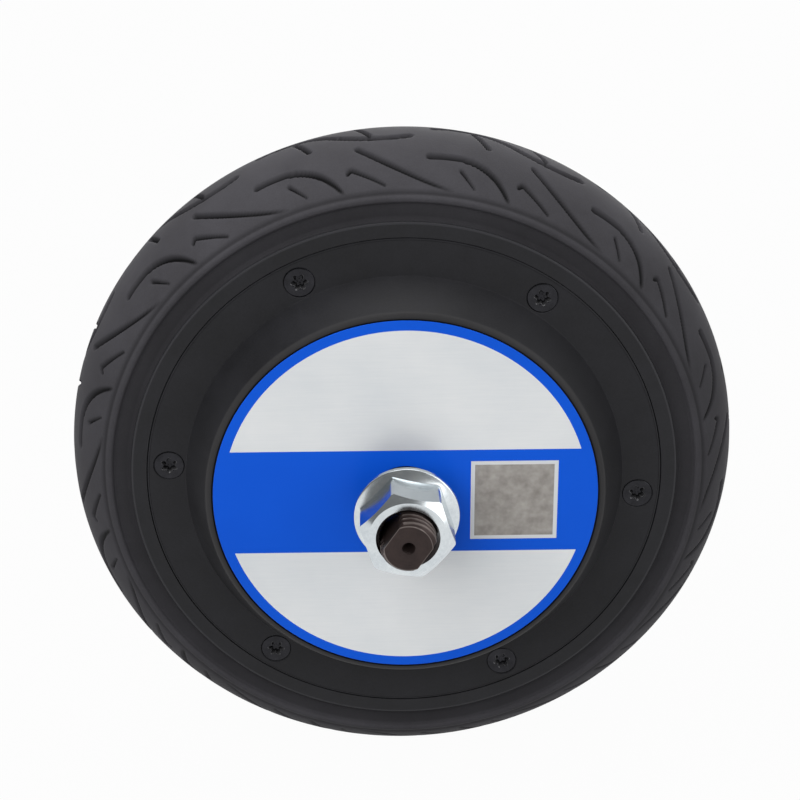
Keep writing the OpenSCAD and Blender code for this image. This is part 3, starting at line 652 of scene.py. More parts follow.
@dataclass(frozen=True)
class LineGroove(Groove):
    """Groove along a straight line."""

    start: tuple[float, float]
    end: tuple[float, float]

    def course(self, across: np.ndarray, along: np.ndarray) -> tuple[np.ndarray, np.ndarray]:
        """Parts of the way from the start that are square to the line and along it past its nearer end.

        Args:
            across: Distances round the tyre in the groove's plane.
            along: Distances along the axle.

        Returns:
            Distances from the middle line and past its nearer end.
        """
        run = np.subtract(self.end, self.start)
        length = np.hypot(*run)
        x, y = across - self.start[0], along - self.start[1]
        forward = (x * run[0] + y * run[1]) / length
        aside = (y * run[0] - x * run[1]) / length
        return aside, np.abs(forward - length / 2) - length / 2


@dataclass
class Tyre:
    """Solid rubber tyre with a barrel tread, in a front and a rear half."""

    radius: float
    rib_high: float
    crown_bend: float = 24.2
    # Shoulder rib, sidewall, bead on the rim and the channel of the rim
    sidewall: float = 19.2
    rib_inner: float = 74.4
    rib_edge: float = 0.25
    rib_swell: float = 0.05
    rib_slope: float = 0.5
    rib_fillet: float = 0.35
    seat: float = 70.05
    bead: float = 0.9
    bead_fillet: float = 0.3
    seat_along: float = 17.0
    channel: float = 64.55
    channel_along: float = 13.5
    wall_steps: int = 2
    # Repeats of the pattern, and the depth, the walls and the narrowing of its grooves
    pitches: int = 12
    near_pitches: int = 2
    phase: float = 101.8
    depth: float = 1.7
    reach: float = 18.9
    lip: float = 0.08
    wall: float = 0.36
    taper: float = 0.25
    taper_from: float = 12
    # Marks of painted shade: groove floors, fading below a depth, and the sidewall and the dip beside the rib
    # are darker
    fade_depth: float = 0.4
    sidewall_shade: float = 0.5
    shade_before: float = 1
    shade_over: float = 2
    dip: float = 0.35
    dip_along: float = 19.1
    dip_half: float = 0.6
    dip_shade: float = 0.5
    pitch_columns: int = 108
    tread_rows: int = 56
    sharp: float = 80
    finish: Finish = TYRE_RUBBER
    # Wave along the crown, sweep to the shoulder, arch and its foot, hook and its barb, sprig, wave's spur
    grooves: tuple[Groove, ...] = (
        ArcGroove(-6.7, width=2.0, centre=(-2.7, -18.5), bend=22.5, arc=(53.2, 56)),
        ArcGroove(-12.5, width=1.35, centre=(-18.1, -28), bend=47.2, arc=(48.9, 33)),
        ArcGroove(-22.5, width=1.65, centre=(2.9, 27.9), bend=17, arc=(210, 63)),
        LineGroove(-22.5, width=1.65, start=(2, 10.9), end=(10, 11.1)),
        LineGroove(-5, width=1.25, start=(3.7, 13.7), end=(-5.2, 18.1)),
        LineGroove(-5, width=1.25, start=(4.6, 15.1), end=(3, 13.5)),
        LineGroove(-22.85, width=1.1, start=(2.08, 13.8), end=(-2.4, 17.9)),
        LineGroove(5, width=1.25, start=(-1.9, 5.8), end=(2.2, -2.6)),
    )

    def crown(self, along: np.ndarray) -> np.ndarray:
        """Radius of the smooth tread: an arc of the crown's bend about a ring inside the tyre."""
        return self.radius - self.crown_bend + np.sqrt(self.crown_bend ** 2 - along ** 2)

    def floor(self, along: np.ndarray) -> np.ndarray:
        """Radius of the groove floors: a flatter arc that meets the crown where the grooves end.

        Args:
            along: Distances along the axle.

        Returns:
            Radii in millimetres.
        """
        drop = self.radius - self.crown(np.array(self.reach)) - self.depth
        bend = (self.reach ** 2 + drop ** 2) / (2 * drop)
        return self.radius - self.depth - bend + np.sqrt(bend ** 2 - along ** 2)

    def cut(self, turn: np.ndarray, along: np.ndarray) -> np.ndarray:
        """How fully the grooves are cut, from 0 on the lands to 1 on the floors.

        The least distance to any groove of the near pitches, in the pattern and in the pattern turned half
        round, is eased from the land to the floor over the lip and the wall. The grooves narrow towards the
        shoulder.

        Args:
            turn: Angles from the middle of a wave in degrees, for one pitch.
            along: Distances along the axle.

        Returns:
            Shares of the groove depth.
        """
        pitch = FULL_TURN / self.pitches
        nearest = np.full(np.broadcast(turn, along).shape, np.inf)
        for step in range(-self.near_pitches, self.near_pitches):
            for half in (1, -1):
                for groove in self.grooves:
                    angle = np.radians(half * (turn + step * pitch) - groove.turn)
                    across = self.crown(along) * np.sin(angle)
                    nearest = np.minimum(nearest, groove.edge(across, half * along))
        narrowed = smooth_step((along - self.taper_from) / (self.reach - self.taper_from))
        return smooth_step((self.lip - nearest - self.taper * narrowed) / (self.lip + self.wall))

    def half(self, side: Side) -> None:
        """Make one half of the tyre: tread, shoulder rib, sidewall, seat on the rim and middle plane.

        The rear half is the front half turned half round about the line through the middle of a wave. The
        tread is the crown less a soft dip beside the rib and less the cut share of the groove depth.

        Args:
            side: Which half.
        """
        columns = self.pitches * self.pitch_columns
        turn = around(columns)
        bend = np.linspace(0, math.asin(self.rib_high / self.crown_bend), self.tread_rows)
        along = (self.crown_bend * np.sin(bend))[:, None]
        cut = np.tile(self.cut(turn[None, :self.pitch_columns], along), self.pitches)
        cut *= along < self.reach
        dip = 1 - smooth_step(np.abs(along - self.dip_along) / self.dip_half)
        radius = self.crown(along) - self.dip * dip
        depth = np.maximum(radius - self.floor(along), 0)
        tread = radius - cut * depth
        edge = float(radius[-1, 0])
        wall = outline([
            (edge, self.rib_high, 0),
            (edge - self.rib_edge, self.rib_high + self.rib_swell, 0),
            (self.rib_inner + self.rib_slope, self.rib_high, self.rib_fillet),
            (self.rib_inner, self.sidewall, self.rib_fillet),
            (self.seat + self.bead, self.sidewall, self.bead_fillet),
            (self.seat, self.sidewall + self.bead, 0),
            (self.seat, self.seat_along, 0),
            (self.channel, self.channel_along, 0),
            (self.channel, 0, 0)], self.wall_steps)
        # Painted shade on the sidewall, inside the shoulder rib
        inside = smooth_step((self.rib_inner + self.shade_before - wall[:, 0]) / self.shade_over)
        at = self.phase + side.value * turn
        shell = Shell(f"{side.word}_tyre_half")
        # Painted shade: darker groove floors, fading where the groove is shallow, and a darker dip beside the
        # rib
        mark = np.maximum(cut * smooth_step(depth / self.fade_depth), self.dip_shade * dip)
        shell.grid(on_axle(tread, at[None], side.value * along), mark=mark)
        shell.revolve(wall * (1, side.value), at, self.sidewall_shade * inside)
        middle = np.stack([np.full(columns, self.channel), tread[0]])
        shell.grid(on_axle(middle, at[None], np.zeros((2, 1))))
        piece = shell.build("wheel", self.finish.material(), self.sharp)
        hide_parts("tyre")

    def build(self) -> None:
        """Make both halves."""
        for side in Side:
            self.half(side)


@dataclass
class ScrewCircle:
    """Places of the cover screws, and the ring with screw holes that the covers and the rim share."""

    count: int = 6
    phase: float = 55.5
    radius: float = 60.3
    columns: int = 360
    half_columns: int = 9
    rows: int = 9
    ring_steps: int = 5

    @property
    def turns(self) -> np.ndarray:
        """Turns of the columns, the first at the first screw."""
        return around(self.columns, self.phase)

    def plane(self, x: np.ndarray, y: np.ndarray, screw: int, along: np.ndarray) -> np.ndarray:
        """Points given in the plane of a screw.

        Args:
            x: Distances outwards from the screw's middle.
            y: Distances round the wheel.
            screw: Number of the screw.
            along: Distances along the axle.

        Returns:
            Points in metres.
        """
        reach = self.radius + x
        turn = self.phase + screw * FULL_TURN / self.count + np.degrees(np.arctan2(y, reach))
        return on_axle(np.hypot(reach, y), turn, along)

    def holed_ring(self, shell: Shell, inner: float, outer: float, along: float, hole: float) -> np.ndarray:
        """Add a flat ring with a hole at each screw.

        Between the screws the ring is a grid of radii and turns. Round each screw, straight lines run from
        the edge of a block of that grid to the hole.

        Args:
            shell: Shell that takes the grids.
            inner: Inner radius of the ring.
            outer: Outer radius of the ring.
            along: Distance along the axle.
            hole: Radius of the holes.

        Returns:
            Angles of the points round a hole, in its own plane.
        """
        sector = self.columns // self.count
        step = FULL_TURN / self.columns
        radii = np.linspace(inner, outer, self.rows + 1)
        span = np.arange(-self.half_columns, self.half_columns + 1) * step
        reach = np.concatenate([np.full(2 * self.half_columns, inner), radii[:-1],
                                np.full(2 * self.half_columns, outer), radii[:0:-1]])
        turn = np.radians(np.concatenate([span[:-1], np.full(self.rows, span[-1]),
                                          span[:0:-1], np.full(self.rows, span[0])]))
        edge_x, edge_y = reach * np.cos(turn) - self.radius, reach * np.sin(turn)
        angle = np.arctan2(edge_y, edge_x)
        share = np.linspace(0, 1, self.ring_steps)[:, None]
        x = hole * np.cos(angle) * (1 - share) + edge_x * share
        y = hole * np.sin(angle) * (1 - share) + edge_y * share
        for screw in range(self.count):
            first = screw * sector + self.half_columns
            last = (screw + 1) * sector - self.half_columns
            apart = self.phase + np.arange(first, last + 1) * step
            shell.grid(on_axle(radii[:, None], apart[None], np.array(along)), ring=False)
            shell.grid(self.plane(x, y, screw, np.array(along)))
        return angle

    def hole_walls(self, shell: Shell, angle: np.ndarray, profile: np.ndarray, sign: int) -> None:
        """Carry a profile round the middle of each screw hole.

        Args:
            shell: Shell that takes the grids.
            angle: Angles of the points round a hole.
            profile: Radii from the hole's middle and distances along the axle.
            sign: Sign of the side along the axle.
        """
        x, y = profile[:, :1] * np.cos(angle), profile[:, :1] * np.sin(angle)
        for screw in range(self.count):
            shell.grid(self.plane(x, y, screw, sign * profile[:, 1:]))


@dataclass
class Cover:
    """Cover with a flange, a conical boss and six countersunk holes."""

    side: Side
    screws: ScrewCircle
    rim_face: float
    boss_face: float
    recess_radius: float
    recess: float
    recess_fillets: tuple[float, float] = (0.08, 0.05)
    # Flange
    seat: float = 16.2
    edge_radius: float = 65.9
    edge_fillet: float = 0.5
    edge_flat: float = 0.05
    # Boss, with the painted highlight on its upper edge and the thickness of its wall
    foot: float = 56.0
    foot_fillet: float = 0.15
    foot_ring: float = 56.22
    top: float = 50.2
    top_fillet: float = 1.1
    top_highlight: float = 0.3
    highlight_reach: float = 0.7
    wall: float = 4
    roof_fillet: float = 1.5
    # Hole for the axle, lip before the bearing, seat of the bearing and hub round it
    hole: float = 9.1
    hole_fillet: float = 0.25
    lip_wall: float = 1.6
    bearing: float = 17.53
    bearing_depth: float = 14.6
    bearing_fillet: float = 0.3
    hub: float = 22.5
    hub_fillet: float = 0.5
    # Countersunk screw holes
    sink: float = 4.1
    sink_floor: float = 18.4
    bore: float = 2.1
    finish: Finish = BLACK_COAT

    def build(self) -> None:
        """Make the cover as one closed shell: two holed rings, the flange's edge, the boss and the holes."""
        shell = Shell(f"{self.side.word}_cover_casting")
        sign, turns = self.side.value, self.screws.turns
        face, roof = self.boss_face, self.boss_face - self.wall
        floor, depth = face - self.recess, face - self.bearing_depth
        ring = self.edge_radius - self.edge_fillet
        angle = self.screws.holed_ring(shell, self.foot_ring, ring, sign * self.rim_face, self.sink)
        self.screws.holed_ring(shell, self.foot_ring, ring, sign * self.seat, self.bore)
        round_edge = self.edge_fillet - self.edge_flat
        edge = outline([
            (ring, self.rim_face, 0), (self.edge_radius, self.rim_face, round_edge),
            (self.edge_radius, self.seat, round_edge), (ring, self.seat, 0)])
        boss = outline([
            (self.foot_ring, self.rim_face, 0), (self.foot, self.rim_face, self.foot_fillet),
            (self.top, face, self.top_fillet),
            (self.recess_radius, face, self.recess_fillets[0]),
            (self.recess_radius, floor, self.recess_fillets[1]),
            (self.hole, floor, self.hole_fillet), (self.hole, face - self.lip_wall, 0),
            (self.bearing, face - self.lip_wall, 0), (self.bearing, depth, self.bearing_fillet),
            (self.hub, depth, self.hub_fillet), (self.hub, roof, self.roof_fillet),
            (self.top - self.wall, roof, self.roof_fillet),
            (self.foot - self.wall, self.seat, 0), (self.foot_ring, self.seat, 0)])
        walls = np.array([(self.sink, self.rim_face), (self.bore, self.sink_floor), (self.bore, self.seat)])
        # Painted highlight in the coat's marked tone round the boss's upper edge
        near_top = np.hypot(boss[:, 0] - self.top, boss[:, 1] - face)
        painted_highlight = self.top_highlight * (near_top < self.highlight_reach * self.top_fillet)
        shell.revolve(edge * (1, sign), turns)
        shell.revolve(boss * (1, sign), turns, painted_highlight)
        self.screws.hole_walls(shell, angle, walls, sign)
        piece = shell.build("wheel", self.finish.material())
        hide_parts(f"{self.side.word}_cover")


@dataclass
class CoverScrews:
    """Six countersunk screws with a six-lobe drive."""

    side: Side
    screws: ScrewCircle
    face: float
    tip: float
    head: float = 3.9
    head_flat: float = 2.3
    head_bevel: float = 0.05
    head_edge: float = 0.25
    head_floor: float = 18.5
    face_fillet: float = 0.3
    edge_fillet: float = 0.1
    shank: float = 1.9
    shank_fillet: float = 0.2
    steps: int = 3
    drive_mean: float = 1.75
    drive_lobe: float = 0.36
    lobes: int = 6
    # Rows of the drive from its middle: share of the lobed radius, depth below the face and painted highlight
    # of its edge
    drive: tuple[tuple[float, float, float], ...] = (
        (0, 1.8, 0), (0.35, 1.5, 0), (0.62, 1.5, 0), (0.66, 1.42, 0), (0.99, 0.14, 0.35), (1.03, 0.04, 0.175),
        (1.09, 0, 0))
    drive_turn: float = 10
    twist: float = 0.4
    columns: int = 96
    sharp: float = 40
    finish: Finish = SCREW_OXIDE

    def build(self) -> None:
        """Make the six screws as one piece, each twisted in radians against the one before it.

        In the drive, the radius of a row is its share of a sum: the mean radius, and the lobe times the
        cosine of the number of lobes times the angle. Outside the drive, it is that of the outline.
        """
        angle = np.radians(around(self.columns))
        lobe = np.cos(self.lobes * (angle + math.radians(self.drive_turn)))
        lobed = self.drive_mean + self.drive_lobe * lobe
        share, depth, glint = np.array(self.drive).T[:, :, None]
        outside = outline([
            (self.head_flat, self.face, 0), (self.head - self.head_bevel, self.face, self.face_fillet),
            (self.head, self.face - self.head_edge, self.edge_fillet),
            (self.shank, self.head_floor, self.shank_fillet), (self.shank, self.tip, self.shank_fillet),
            (0, self.tip, 0)], self.steps)
        whole = np.ones(self.columns)
        radius = np.vstack([share * lobed, outside[:, :1] * whole])
        along = np.vstack([self.face - depth, outside[:, 1:]])
        # Painted highlight round the edge of the drive
        highlit = np.vstack([glint, 0 * outside[:, :1]]) * whole
        shell = Shell(f"{self.side.word}_cover_screw_set")
        for screw in range(self.screws.count):
            turned = angle + screw * self.twist
            shell.grid(self.screws.plane(radius * np.cos(turned), radius * np.sin(turned), screw,
                                         self.side.value * along), mark=highlit)
        piece = shell.build("wheel", self.finish.material(), self.sharp)
        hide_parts(f"{self.side.word}_cover_screws")


@dataclass
class Rim:
    """Ring of coated aluminium that carries the tyre, with a seat and screw holes for each cover."""

    screws: ScrewCircle
    lip: float
    face: float
    bore: float = 55.06
    bore_fillet: float = 0.3
    seat: float = 16.2
    seat_radius: float = 66.0
    seat_corner: float = 0.1
    seat_fillet: float = 0.1
    lip_fillet: float = 0.5
    lip_highlight: float = 0.8
    highlight_reach: float = 1.1
    lip_low: float = 17.0
    channel: float = 64.5
    channel_along: float = 13.5
    hole: float = 2.1
    hole_end: float = 8.0
    hole_tip: float = 7.0
    ring: tuple[float, float] = (57.2, 63.4)
    finish: Finish = RIM_COAT

    def build(self) -> None:
        """Make the rim as one closed shell: bore, two seats with holes, two lips and the channel."""
        shell = Shell("rim_ring")
        turns = self.screws.turns
        walls = np.array([(self.hole, self.seat), (self.hole, self.hole_end), (0, self.hole_tip)])
        inside = outline([
            (self.bore, 0, 0), (self.bore, self.seat, self.bore_fillet), (self.ring[0], self.seat, 0)])
        lip = outline([
            (self.ring[1], self.seat, 0), (self.seat_radius, self.seat, self.seat_corner),
            (self.seat_radius, self.face, self.seat_fillet), (self.lip, self.face, self.lip_fillet),
            (self.lip, self.lip_low, 0), (self.channel, self.channel_along, 0), (self.channel, 0, 0)])
        # Painted highlight in the coat's marked tone round the lip's outer edge
        near_edge = np.hypot(lip[:, 0] - self.lip, lip[:, 1] - self.face)
        painted_highlight = self.lip_highlight * (near_edge < self.highlight_reach * self.lip_fillet)
        for side in Side:
            sign = side.value
            angle = self.screws.holed_ring(shell, *self.ring, sign * self.seat, self.hole)
            self.screws.hole_walls(shell, angle, walls, sign)
            shell.revolve(inside * (1, sign), turns)
            shell.revolve(lip * (1, sign), turns, painted_highlight)
        piece = shell.build("wheel", self.finish.material())
        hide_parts("rim")


@dataclass
class NamePlate:
    """Round film on the front boss, with a hole for the axle and a slightly rounded edge."""

    size: Extent
    hole: float = 9.2
    seam: float = 30
    fillet: float = 0.12
    columns: int = 360
    finish: PlateFilm = field(default_factory=PlateFilm)

    def build(self) -> None:
        """Make the plate by carrying its thin section, which starts and ends at the seam, round the axle."""
        shell = Shell("name_plate_film")
        low, high, outer = self.size.near, self.size.far, self.size.radius
        section = outline([
            (self.seam, low, 0), (outer, low, self.fillet), (outer, high, self.fillet),
            (self.hole, high, self.fillet), (self.hole, low, self.fillet), (self.seam, low, 0)])
        shell.revolve(section, around(self.columns))
        piece = shell.build("wheel", self.finish.material())
        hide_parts("name_plate")


@dataclass(frozen=True)
class Thread:
    """Metric thread shared by the axle ends and their nuts."""

    radius: float = 7.0
    pitch: float = 2.0
    height: float = 1.1
    top: float = 1.25
    slope: float = 1.5

    def ridge(self, turn: np.ndarray, along: np.ndarray) -> np.ndarray:
        """Share of the thread height, 1 on a crest and 0 in a root.

        The phase is the distance along the axle over the pitch less the share of a whole turn. The ridge is a
        triangle wave of it, as steep as the slope and as high as the top, held between 0 and 1.
        """
        phase = (along / self.pitch - turn / FULL_TURN) % 1
        return np.clip(self.top - np.abs(2 * phase - 1) * self.slope, 0, 1)


@dataclass
class Axle:
    """Fixed axle: journals, a body between the bearings, and two threaded ends with flats."""

    half: float
    body: float
    shoulders: dict[Side, float] = field(default_factory=lambda: {Side.FRONT: 35.0, Side.REAR: 33.5})
    body_ends: dict[Side, float] = field(default_factory=lambda: {Side.FRONT: 17.0, Side.REAR: 15.0})
    journal: float = 8.5
    journal_chamfer: float = 0.4
    journal_fillet: float = 0.2
    body_fillet: float = 0.3
    flat_half: float = 5.0
    flat_turn: float = 146
    least_cosine: float = 0.05
    chamfer: float = 1.0
    runout: float = 1.2
    drill: float = 1.5
    drill_tip: float = 0.2
    lead_bore: float = 3.5
    lead_depth: float = 46
    mouth_chamfer: float = 0.15
    # Rings of an end face, as shares of the way from its edge to the mouth of its hole
    face_rings: tuple[float, ...] = (0, 0.05, 0.4, 1)
    columns: int = 180
    row_mm: float = 0.15
    crest_from: float = 0.75
    crest_highlight: float = 0.3
    tip_highlight: float = 0.5
    thread: Thread = Thread()
    finish: Finish = BLACK_OXIDE

    def threaded(self, shell: Shell, side: Side) -> np.ndarray:
        """Add one threaded end and the collar at its shoulder.

        The radius is the least of the thread, the chamfer at the tip and the distance to the flats, which is
        the half width over the cosine of the angle from their direction.

        Args:
            shell: Shell that takes the grids.
            side: Which end.

        Returns:
            Radii round the tip.
        """
        turn, shoulder = around(self.columns), self.shoulders[side]
        along = np.linspace(shoulder, self.half, int((self.half - shoulder) / self.row_mm))[:, None]
        fade = smooth_step((along - shoulder) / self.runout)
        ridge = self.thread.ridge(side.value * turn[None], along)
        radius = self.thread.radius - self.thread.height * fade * (1 - ridge)
        tip = self.thread.radius - self.chamfer + (self.half - along)
        cosine = np.abs(np.cos(np.radians(turn - self.flat_turn)))
        flat = self.flat_half / np.maximum(cosine, self.least_cosine)
        # Painted highlights on the thread crests clear of the flats and on the last ring at the tip
        crest = smooth_step((ridge - self.crest_from) / (1 - self.crest_from))
        highlit = self.crest_highlight * crest * fade * (radius < flat)
        highlit[-1] = self.tip_highlight
        radius = np.minimum(np.minimum(radius, tip), flat[None])
        shell.grid(on_axle(radius, turn[None], side.value * along), mark=highlit)
        collar = np.stack([np.full(self.columns, self.journal - self.journal_chamfer), radius[0]])
        shell.grid(on_axle(collar, turn[None], np.full((2, 1), side.value * shoulder)))
        return radius[-1]

    def end_face(self, shell: Shell, side: Side, rim: np.ndarray, hole: float,
                 floor: list[tuple[float, float]]) -> None:
        """Add the end face, from the tip's radii to a round hole, and the hole down to its floor.

        Args:
            shell: Shell that takes the grids.
            side: Which end.
            rim: Radii round the tip.
            hole: Radius of the hole.
            floor: Radius and depth of each ring of the hole.
        """
        turn = around(self.columns)
        mouth = np.full(self.columns, hole + self.mouth_chamfer)
        share = np.array(self.face_rings)[:, None]
        # Painted highlight on the outer ring of the end face
        painted_highlight = self.tip_highlight * (share == 0) * np.ones(self.columns)
        face = np.full(share.shape, side.value * self.half)
        shell.grid(on_axle(rim * (1 - share) + mouth * share, turn[None], face), mark=painted_highlight)
        rings = np.array([(hole + self.mouth_chamfer, 0), (hole, self.mouth_chamfer), *floor])
        shell.revolve(np.stack([rings[:, 0], side.value * (self.half - rings[:, 1])], 1), turn)

    def build(self) -> None:
        """Make the axle as one closed shell: the middle with its journals, then both ends."""
        shell = Shell("axle_shaft")
        rear, front = [[
            (self.journal - self.journal_chamfer, side.value * self.shoulders[side], 0),
            (self.journal, side.value * (self.shoulders[side] - self.journal_chamfer), 0),
            (self.journal, side.value * self.body_ends[side], self.journal_fillet),
            (self.body, side.value * self.body_ends[side], self.body_fillet)]
            for side in (Side.REAR, Side.FRONT)]
        shell.revolve(outline(rear + front[::-1]), around(self.columns))
        rims = {side: self.threaded(shell, side) for side in Side}
        deep = 2 * self.drill
        self.end_face(shell, Side.FRONT, rims[Side.FRONT], self.drill,
                      [(self.drill_tip, deep - self.drill_tip), (0, deep)])
        self.end_face(shell, Side.REAR, rims[Side.REAR], self.lead_bore,
                      [(self.lead_bore, self.lead_depth), (0, self.lead_depth)])
        piece = shell.build("axle", self.finish.material())
        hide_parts("axle")


@dataclass
class AxleNut:
    """Flange nut on an axle end."""

    side: Side
    size: Extent
    corner_turn: float = 48
    flats: int = 6
    flat: float = 10.5
    flange_edge: float = 1.4
    flange_top: float = 2.4
    flange_flat: float = 0.7
    flange_fillets: tuple[float, float] = (0.25, 0.3)
    corner_drop: float = 1.9
    face_radius: float = 9.7
    corner_round: float = 11.95
    foot_fillet: float = 0.15
    hexagon_rows: int = 6
    entry: float = 7.8
    entry_edge: tuple[float, float] = (0.1, 0.06)
    bore: float = 7.1
    bore_chamfer: float = 0.5
    bore_thread: float = 0.5
    thread_from: float = 0.4
    runout: float = 0.8
    columns: int = 216
    row_mm: float = 0.18
    sharp: float = 30
    thread: Thread = Thread()
    finish: Finish = ZINC_PLATE

    def outside(self, turn: np.ndarray, height: float) -> tuple[np.ndarray, np.ndarray]:
        """Rows from the seat over the flange and the hexagon to the mouth of the bore.

        The hexagon's radius is half its width over the cosine of the angle from the nearest flat, held to a
        round corner. It rises to the height where the chamfer cone has the same radius, and follows the cone
        to the face.

        Args:
            turn: Turns of the columns.
            height: Height of the nut.

        Returns:
            Radii and heights above the seat, as rows of columns.
        """
        whole = np.ones(self.columns)
        flat_turn = FULL_TURN / self.flats
        from_flat = np.radians((turn - self.corner_turn) % flat_turn - flat_turn / 2)
        hexagon = np.minimum(self.flat / np.cos(from_flat), self.corner_round)
        corner = self.flat / math.cos(math.radians(flat_turn / 2))
        slope = self.corner_drop / (corner - self.face_radius)
        meet = height - slope * (hexagon - self.face_radius)
        wide = self.size.radius
        rise = (self.flange_top - self.flange_edge) / (wide - self.flat)
        flange = outline([
            (self.bore + self.bore_chamfer, 0, 0), (wide, 0, self.flange_fillets[0]),
            (wide, self.flange_edge, self.flange_fillets[1]),
            (wide - self.flange_flat, self.flange_edge + self.flange_flat * rise, 0)])
        share = np.linspace(0, 1, self.hexagon_rows)[:, None]
        foot = self.flange_edge + rise * (wide - hexagon)
        radius = [flange[:, :1] * whole, hexagon[None] + self.foot_fillet, hexagon + 0 * share,
                  hexagon * (1 - share) + self.face_radius * share,
                  whole * (self.entry + self.entry_edge[0]), whole * self.entry]
        along = [flange[:, 1:] * whole, foot[None], (foot + self.foot_fillet) * (1 - share) + meet * share,
                 meet * (1 - share) + height * share, whole * height, whole * (height - self.entry_edge[1])]
        return np.vstack(radius), np.vstack(along)

    def build(self) -> None:
        """Make the nut as one closed shell; ridges in its bore fill the gaps of the axle's thread."""
        seat, height = self.size.near, self.size.far - self.size.near
        sign, turn, whole = self.side.value, around(self.columns), np.ones(self.columns)
        radius, along = self.outside(turn, height)
        mouth = height - (self.entry - self.bore)
        depth = np.linspace(mouth, self.thread_from, int(height / self.row_mm))[:, None]
        ease = smooth_step(np.minimum(depth - depth.min(), depth.max() - depth) / self.runout)
        gap = 1 - self.thread.ridge(sign * turn[None], seat + depth)
        thread = self.bore - self.bore_thread * ease * gap
        shell = Shell(f"{self.side.word}_flange_nut")
        shell.grid(on_axle(np.vstack([radius, thread, whole * (self.bore + self.bore_chamfer)]), turn[None],
                           sign * (seat + np.vstack([along, depth * whole, 0 * whole]))))
        piece = shell.build("axle", self.finish.material(), self.sharp)
        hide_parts(f"{self.side.word}_axle_nut")


@dataclass
class Insides:
    """Finishes of the solids that keep their own meshes: motor, sensors, bearings and seals."""

    single: dict[str, Finish] = field(default_factory=lambda: {
        "stator_hub": TURNED_ALUMINIUM, "stator_key": PLAIN_STEEL, "stator_circlips": SCREW_OXIDE,
        "stator_core": SHEET_STACK, "windings": COPPER_WIRE, "hall_board": BOARD, "hall_sensors": CHIP_EPOXY,
        "encoder_board": BOARD, "encoder_posts": BRASS, "encoder_board_screws": ZINC_PLATE,
        "encoder_reader": CHIP_EPOXY, "lead_grommet": NITRILE, "back_iron_ring": PLAIN_STEEL,
        "magnets": NICKEL, "code_disc": GROUND_STEEL, "code_disc_ring": TURNED_ALUMINIUM})
    paired: dict[str, Finish] = field(default_factory=lambda: {
        "slot_insulator": NYLON, "gasket": NITRILE, "oil_seal": NITRILE, "bearing_inner": GROUND_STEEL,
        "bearing_outer": GROUND_STEEL, "bearing_cage": PLAIN_STEEL, "bearing_balls": GROUND_STEEL})

    def dress(self, nodes: dict[str, bpy.types.Object]) -> None:
        """Give each solid its finish; those of a pair bear the word of their side.

        Args:
            nodes: Objects of the frame by node name.
        """
        finishes = self.single | {f"{side.word}_{name}": finish for name, finish in self.paired.items()
                                  for side in Side}
        for name, finish in finishes.items():
            solid = nodes[name]
            solid.data.materials.clear()
            solid.data.materials.append(finish.material())
            LOG.info("%s: %s", name, finish.name)


@dataclass(frozen=True)
class Lamp:
    """Soft square lamp: its place and size, its power in watts, and whether mirror images show it."""

    name: str
    place: Place
    size: float
    power: float
    mirrored: bool = True

    def hang(self) -> None:
        """Hang the lamp, facing the wheel."""
        data = bpy.data.lights.new(self.name, "AREA")
        data.size = self.size * MM
        data.energy = self.power
        lamp = put_in_scene(self.name, data)
        lamp.visible_glossy = self.mirrored
        lamp.matrix_world = facing(self.place)


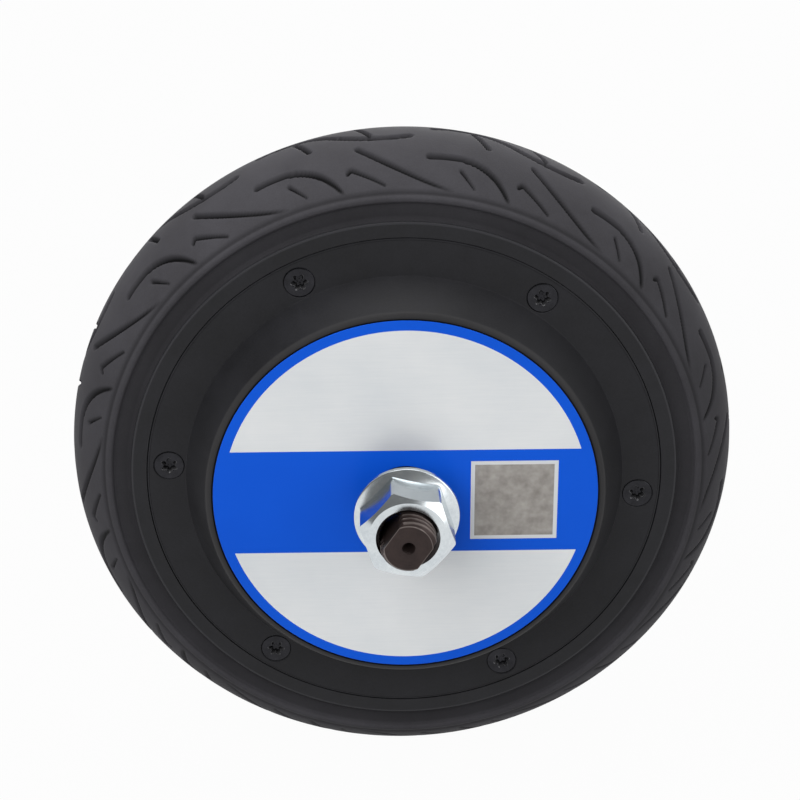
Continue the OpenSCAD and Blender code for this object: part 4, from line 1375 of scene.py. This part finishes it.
@dataclass
class Studio:
    """Pale floor, soft lamps, white surroundings and the camera at the photograph's view."""

    distance: float = 599.93
    elevation: float = 25.577
    azimuth: float = -1.484
    focal_px: float = 2263.77
    centre_px: tuple[float, float] = (402.52, 444.87)
    frame_px: int = 800
    sensor_mm: float = 36
    clip_start: float = 10
    floor_z: float = -86.6
    floor_half: float = 3000
    floor_tone: str = "#8C8C8C"
    floor_rough: float = 0.9
    floor_white: float = 0.97
    surround: float = 0.5
    room_dark: float = 0.2
    bright_way: Place = (1.2, 1.0, -0.3)
    bright_span: tuple[float, float] = (-0.7, 0.1)
    lamps: tuple[Lamp, ...] = (
        Lamp("key_lamp", (-640, -740, 820), size=1200, power=12.5, mirrored=False),
        Lamp("fill_lamp", (850, -700, 380), size=800, power=2.2),
        Lamp("top_lamp", (-60, 200, 1060), size=900, power=5.6),
        Lamp("rear_lamp", (260, 960, 420), size=900, power=4.0),
    )

    def camera(self) -> None:
        """Place the camera by its distance, elevation and azimuth, aimed at the middle of the wheel."""
        up_angle, turn = math.radians(self.elevation), math.radians(self.azimuth)
        level = self.distance * math.cos(up_angle)
        data = bpy.data.cameras.new("photo_camera")
        data.sensor_width = self.sensor_mm
        data.lens = self.focal_px / self.frame_px * self.sensor_mm
        data.shift_x = 0.5 - self.centre_px[0] / self.frame_px
        data.shift_y = self.centre_px[1] / self.frame_px - 0.5
        data.clip_start = self.clip_start * MM
        camera = put_in_scene("photo_camera", data)
        camera.matrix_world = facing((level * math.sin(turn), -level * math.cos(turn),
                                      self.distance * math.sin(up_angle)))
        bpy.context.scene.camera = camera

    def floor(self) -> None:
        """Make the floor, white to the camera apart from a share of its own light that keeps the shadow."""
        half, low = self.floor_half * MM, self.floor_z * MM
        mesh = bpy.data.meshes.new("floor")
        corners = [(-half, -half, low), (half, -half, low), (half, half, low), (-half, half, low)]
        mesh.from_pydata(corners, [], [(0, 1, 2, 3)])
        shader = Shader("pale_floor", Base_Color=srgb(self.floor_tone), Roughness=self.floor_rough,
                        Specular_IOR_Level=0)
        ray = shader.add("LightPath")
        seen = shader.add("Math", {"operation": "MAXIMUM"},
                          {0: ray.outputs["Is Camera Ray"], 1: ray.outputs["Is Glossy Ray"]})
        share = shader.add("Math", {"operation": "MULTIPLY", 1: self.floor_white}, {0: seen})
        white = shader.add("Emission", {"Color": WHITE, "Strength": 1})
        mixed = shader.add("MixShader", links={0: share, 1: shader.surface, 2: white})
        shader.link(shader.tree.nodes["Material Output"], {"Surface": mixed})
        mesh.materials.append(shader.material)
        floor = put_in_scene("floor", mesh)

    def surroundings(self) -> None:
        """White to the camera; in mirror images darker overhead, on the camera's side and to the left."""
        world = bpy.data.worlds.new("white_room")
        world.use_nodes = True
        bpy.context.scene.world = world
        tree = world.node_tree
        ray = add_node(tree, "LightPath")
        way = add_node(tree, "VectorMath", {"operation": "DOT_PRODUCT", 1: self.bright_way},
                       {0: add_node(tree, "TexCoord").outputs["Generated"]})
        low, high = self.bright_span
        mirrored = add_node(tree, "MapRange", {"From Min": low, "From Max": high, "To Min": self.room_dark},
                            {"Value": way.outputs["Value"]})
        lit = add_node(tree, "Mix", {NUMBER_A: self.surround},
                       {0: ray.outputs["Is Glossy Ray"], NUMBER_B: mirrored})
        level = add_node(tree, "Mix", {NUMBER_B: 1.0}, {0: ray.outputs["Is Camera Ray"], NUMBER_A: lit})
        back = tree.nodes["Background"]
        back.inputs["Color"].default_value = WHITE
        feed(tree, back, {"Strength": level})

    def build(self) -> None:
        """Set up the camera, floor, surroundings and lamps."""
        bpy.context.scene.view_settings.view_transform = "Standard"
        self.camera()
        self.floor()
        self.surroundings()
        for lamp in self.lamps:
            lamp.hang()


def main() -> None:
    """Build the studio and each sub-assembly in order, on the reach of the frame's solids."""
    logging.basicConfig(level=logging.INFO, format="%(message)s")
    Studio().build()
    screws = ScrewCircle()
    tyre, rim, axle = [Extent.of(node) for node in ("tyre", "rim", "axle")]
    Tyre(tyre.radius, tyre.far).build()
    Rim(screws, rim.radius, rim.far).build()
    for side, recess_radius, recess in ((Side.FRONT, 48.9, 0.3), (Side.REAR, 32, 0.5)):
        boss_face = Extent.of(f"{side.word}_cover").far
        Cover(side, screws, rim.far, boss_face, recess_radius, recess).build()
    for side in Side:
        screw = Extent.of(f"{side.word}_cover_screws")
        CoverScrews(side, screws, face=screw.far, tip=screw.near).build()
    NamePlate(Extent.of("name_plate")).build()
    Axle(axle.far, axle.radius).build()
    for side in Side:
        AxleNut(side, Extent.of(f"{side.word}_axle_nut")).build()
    Insides().dress(frame["nodes"])


if __name__ == "__main__":
    main()
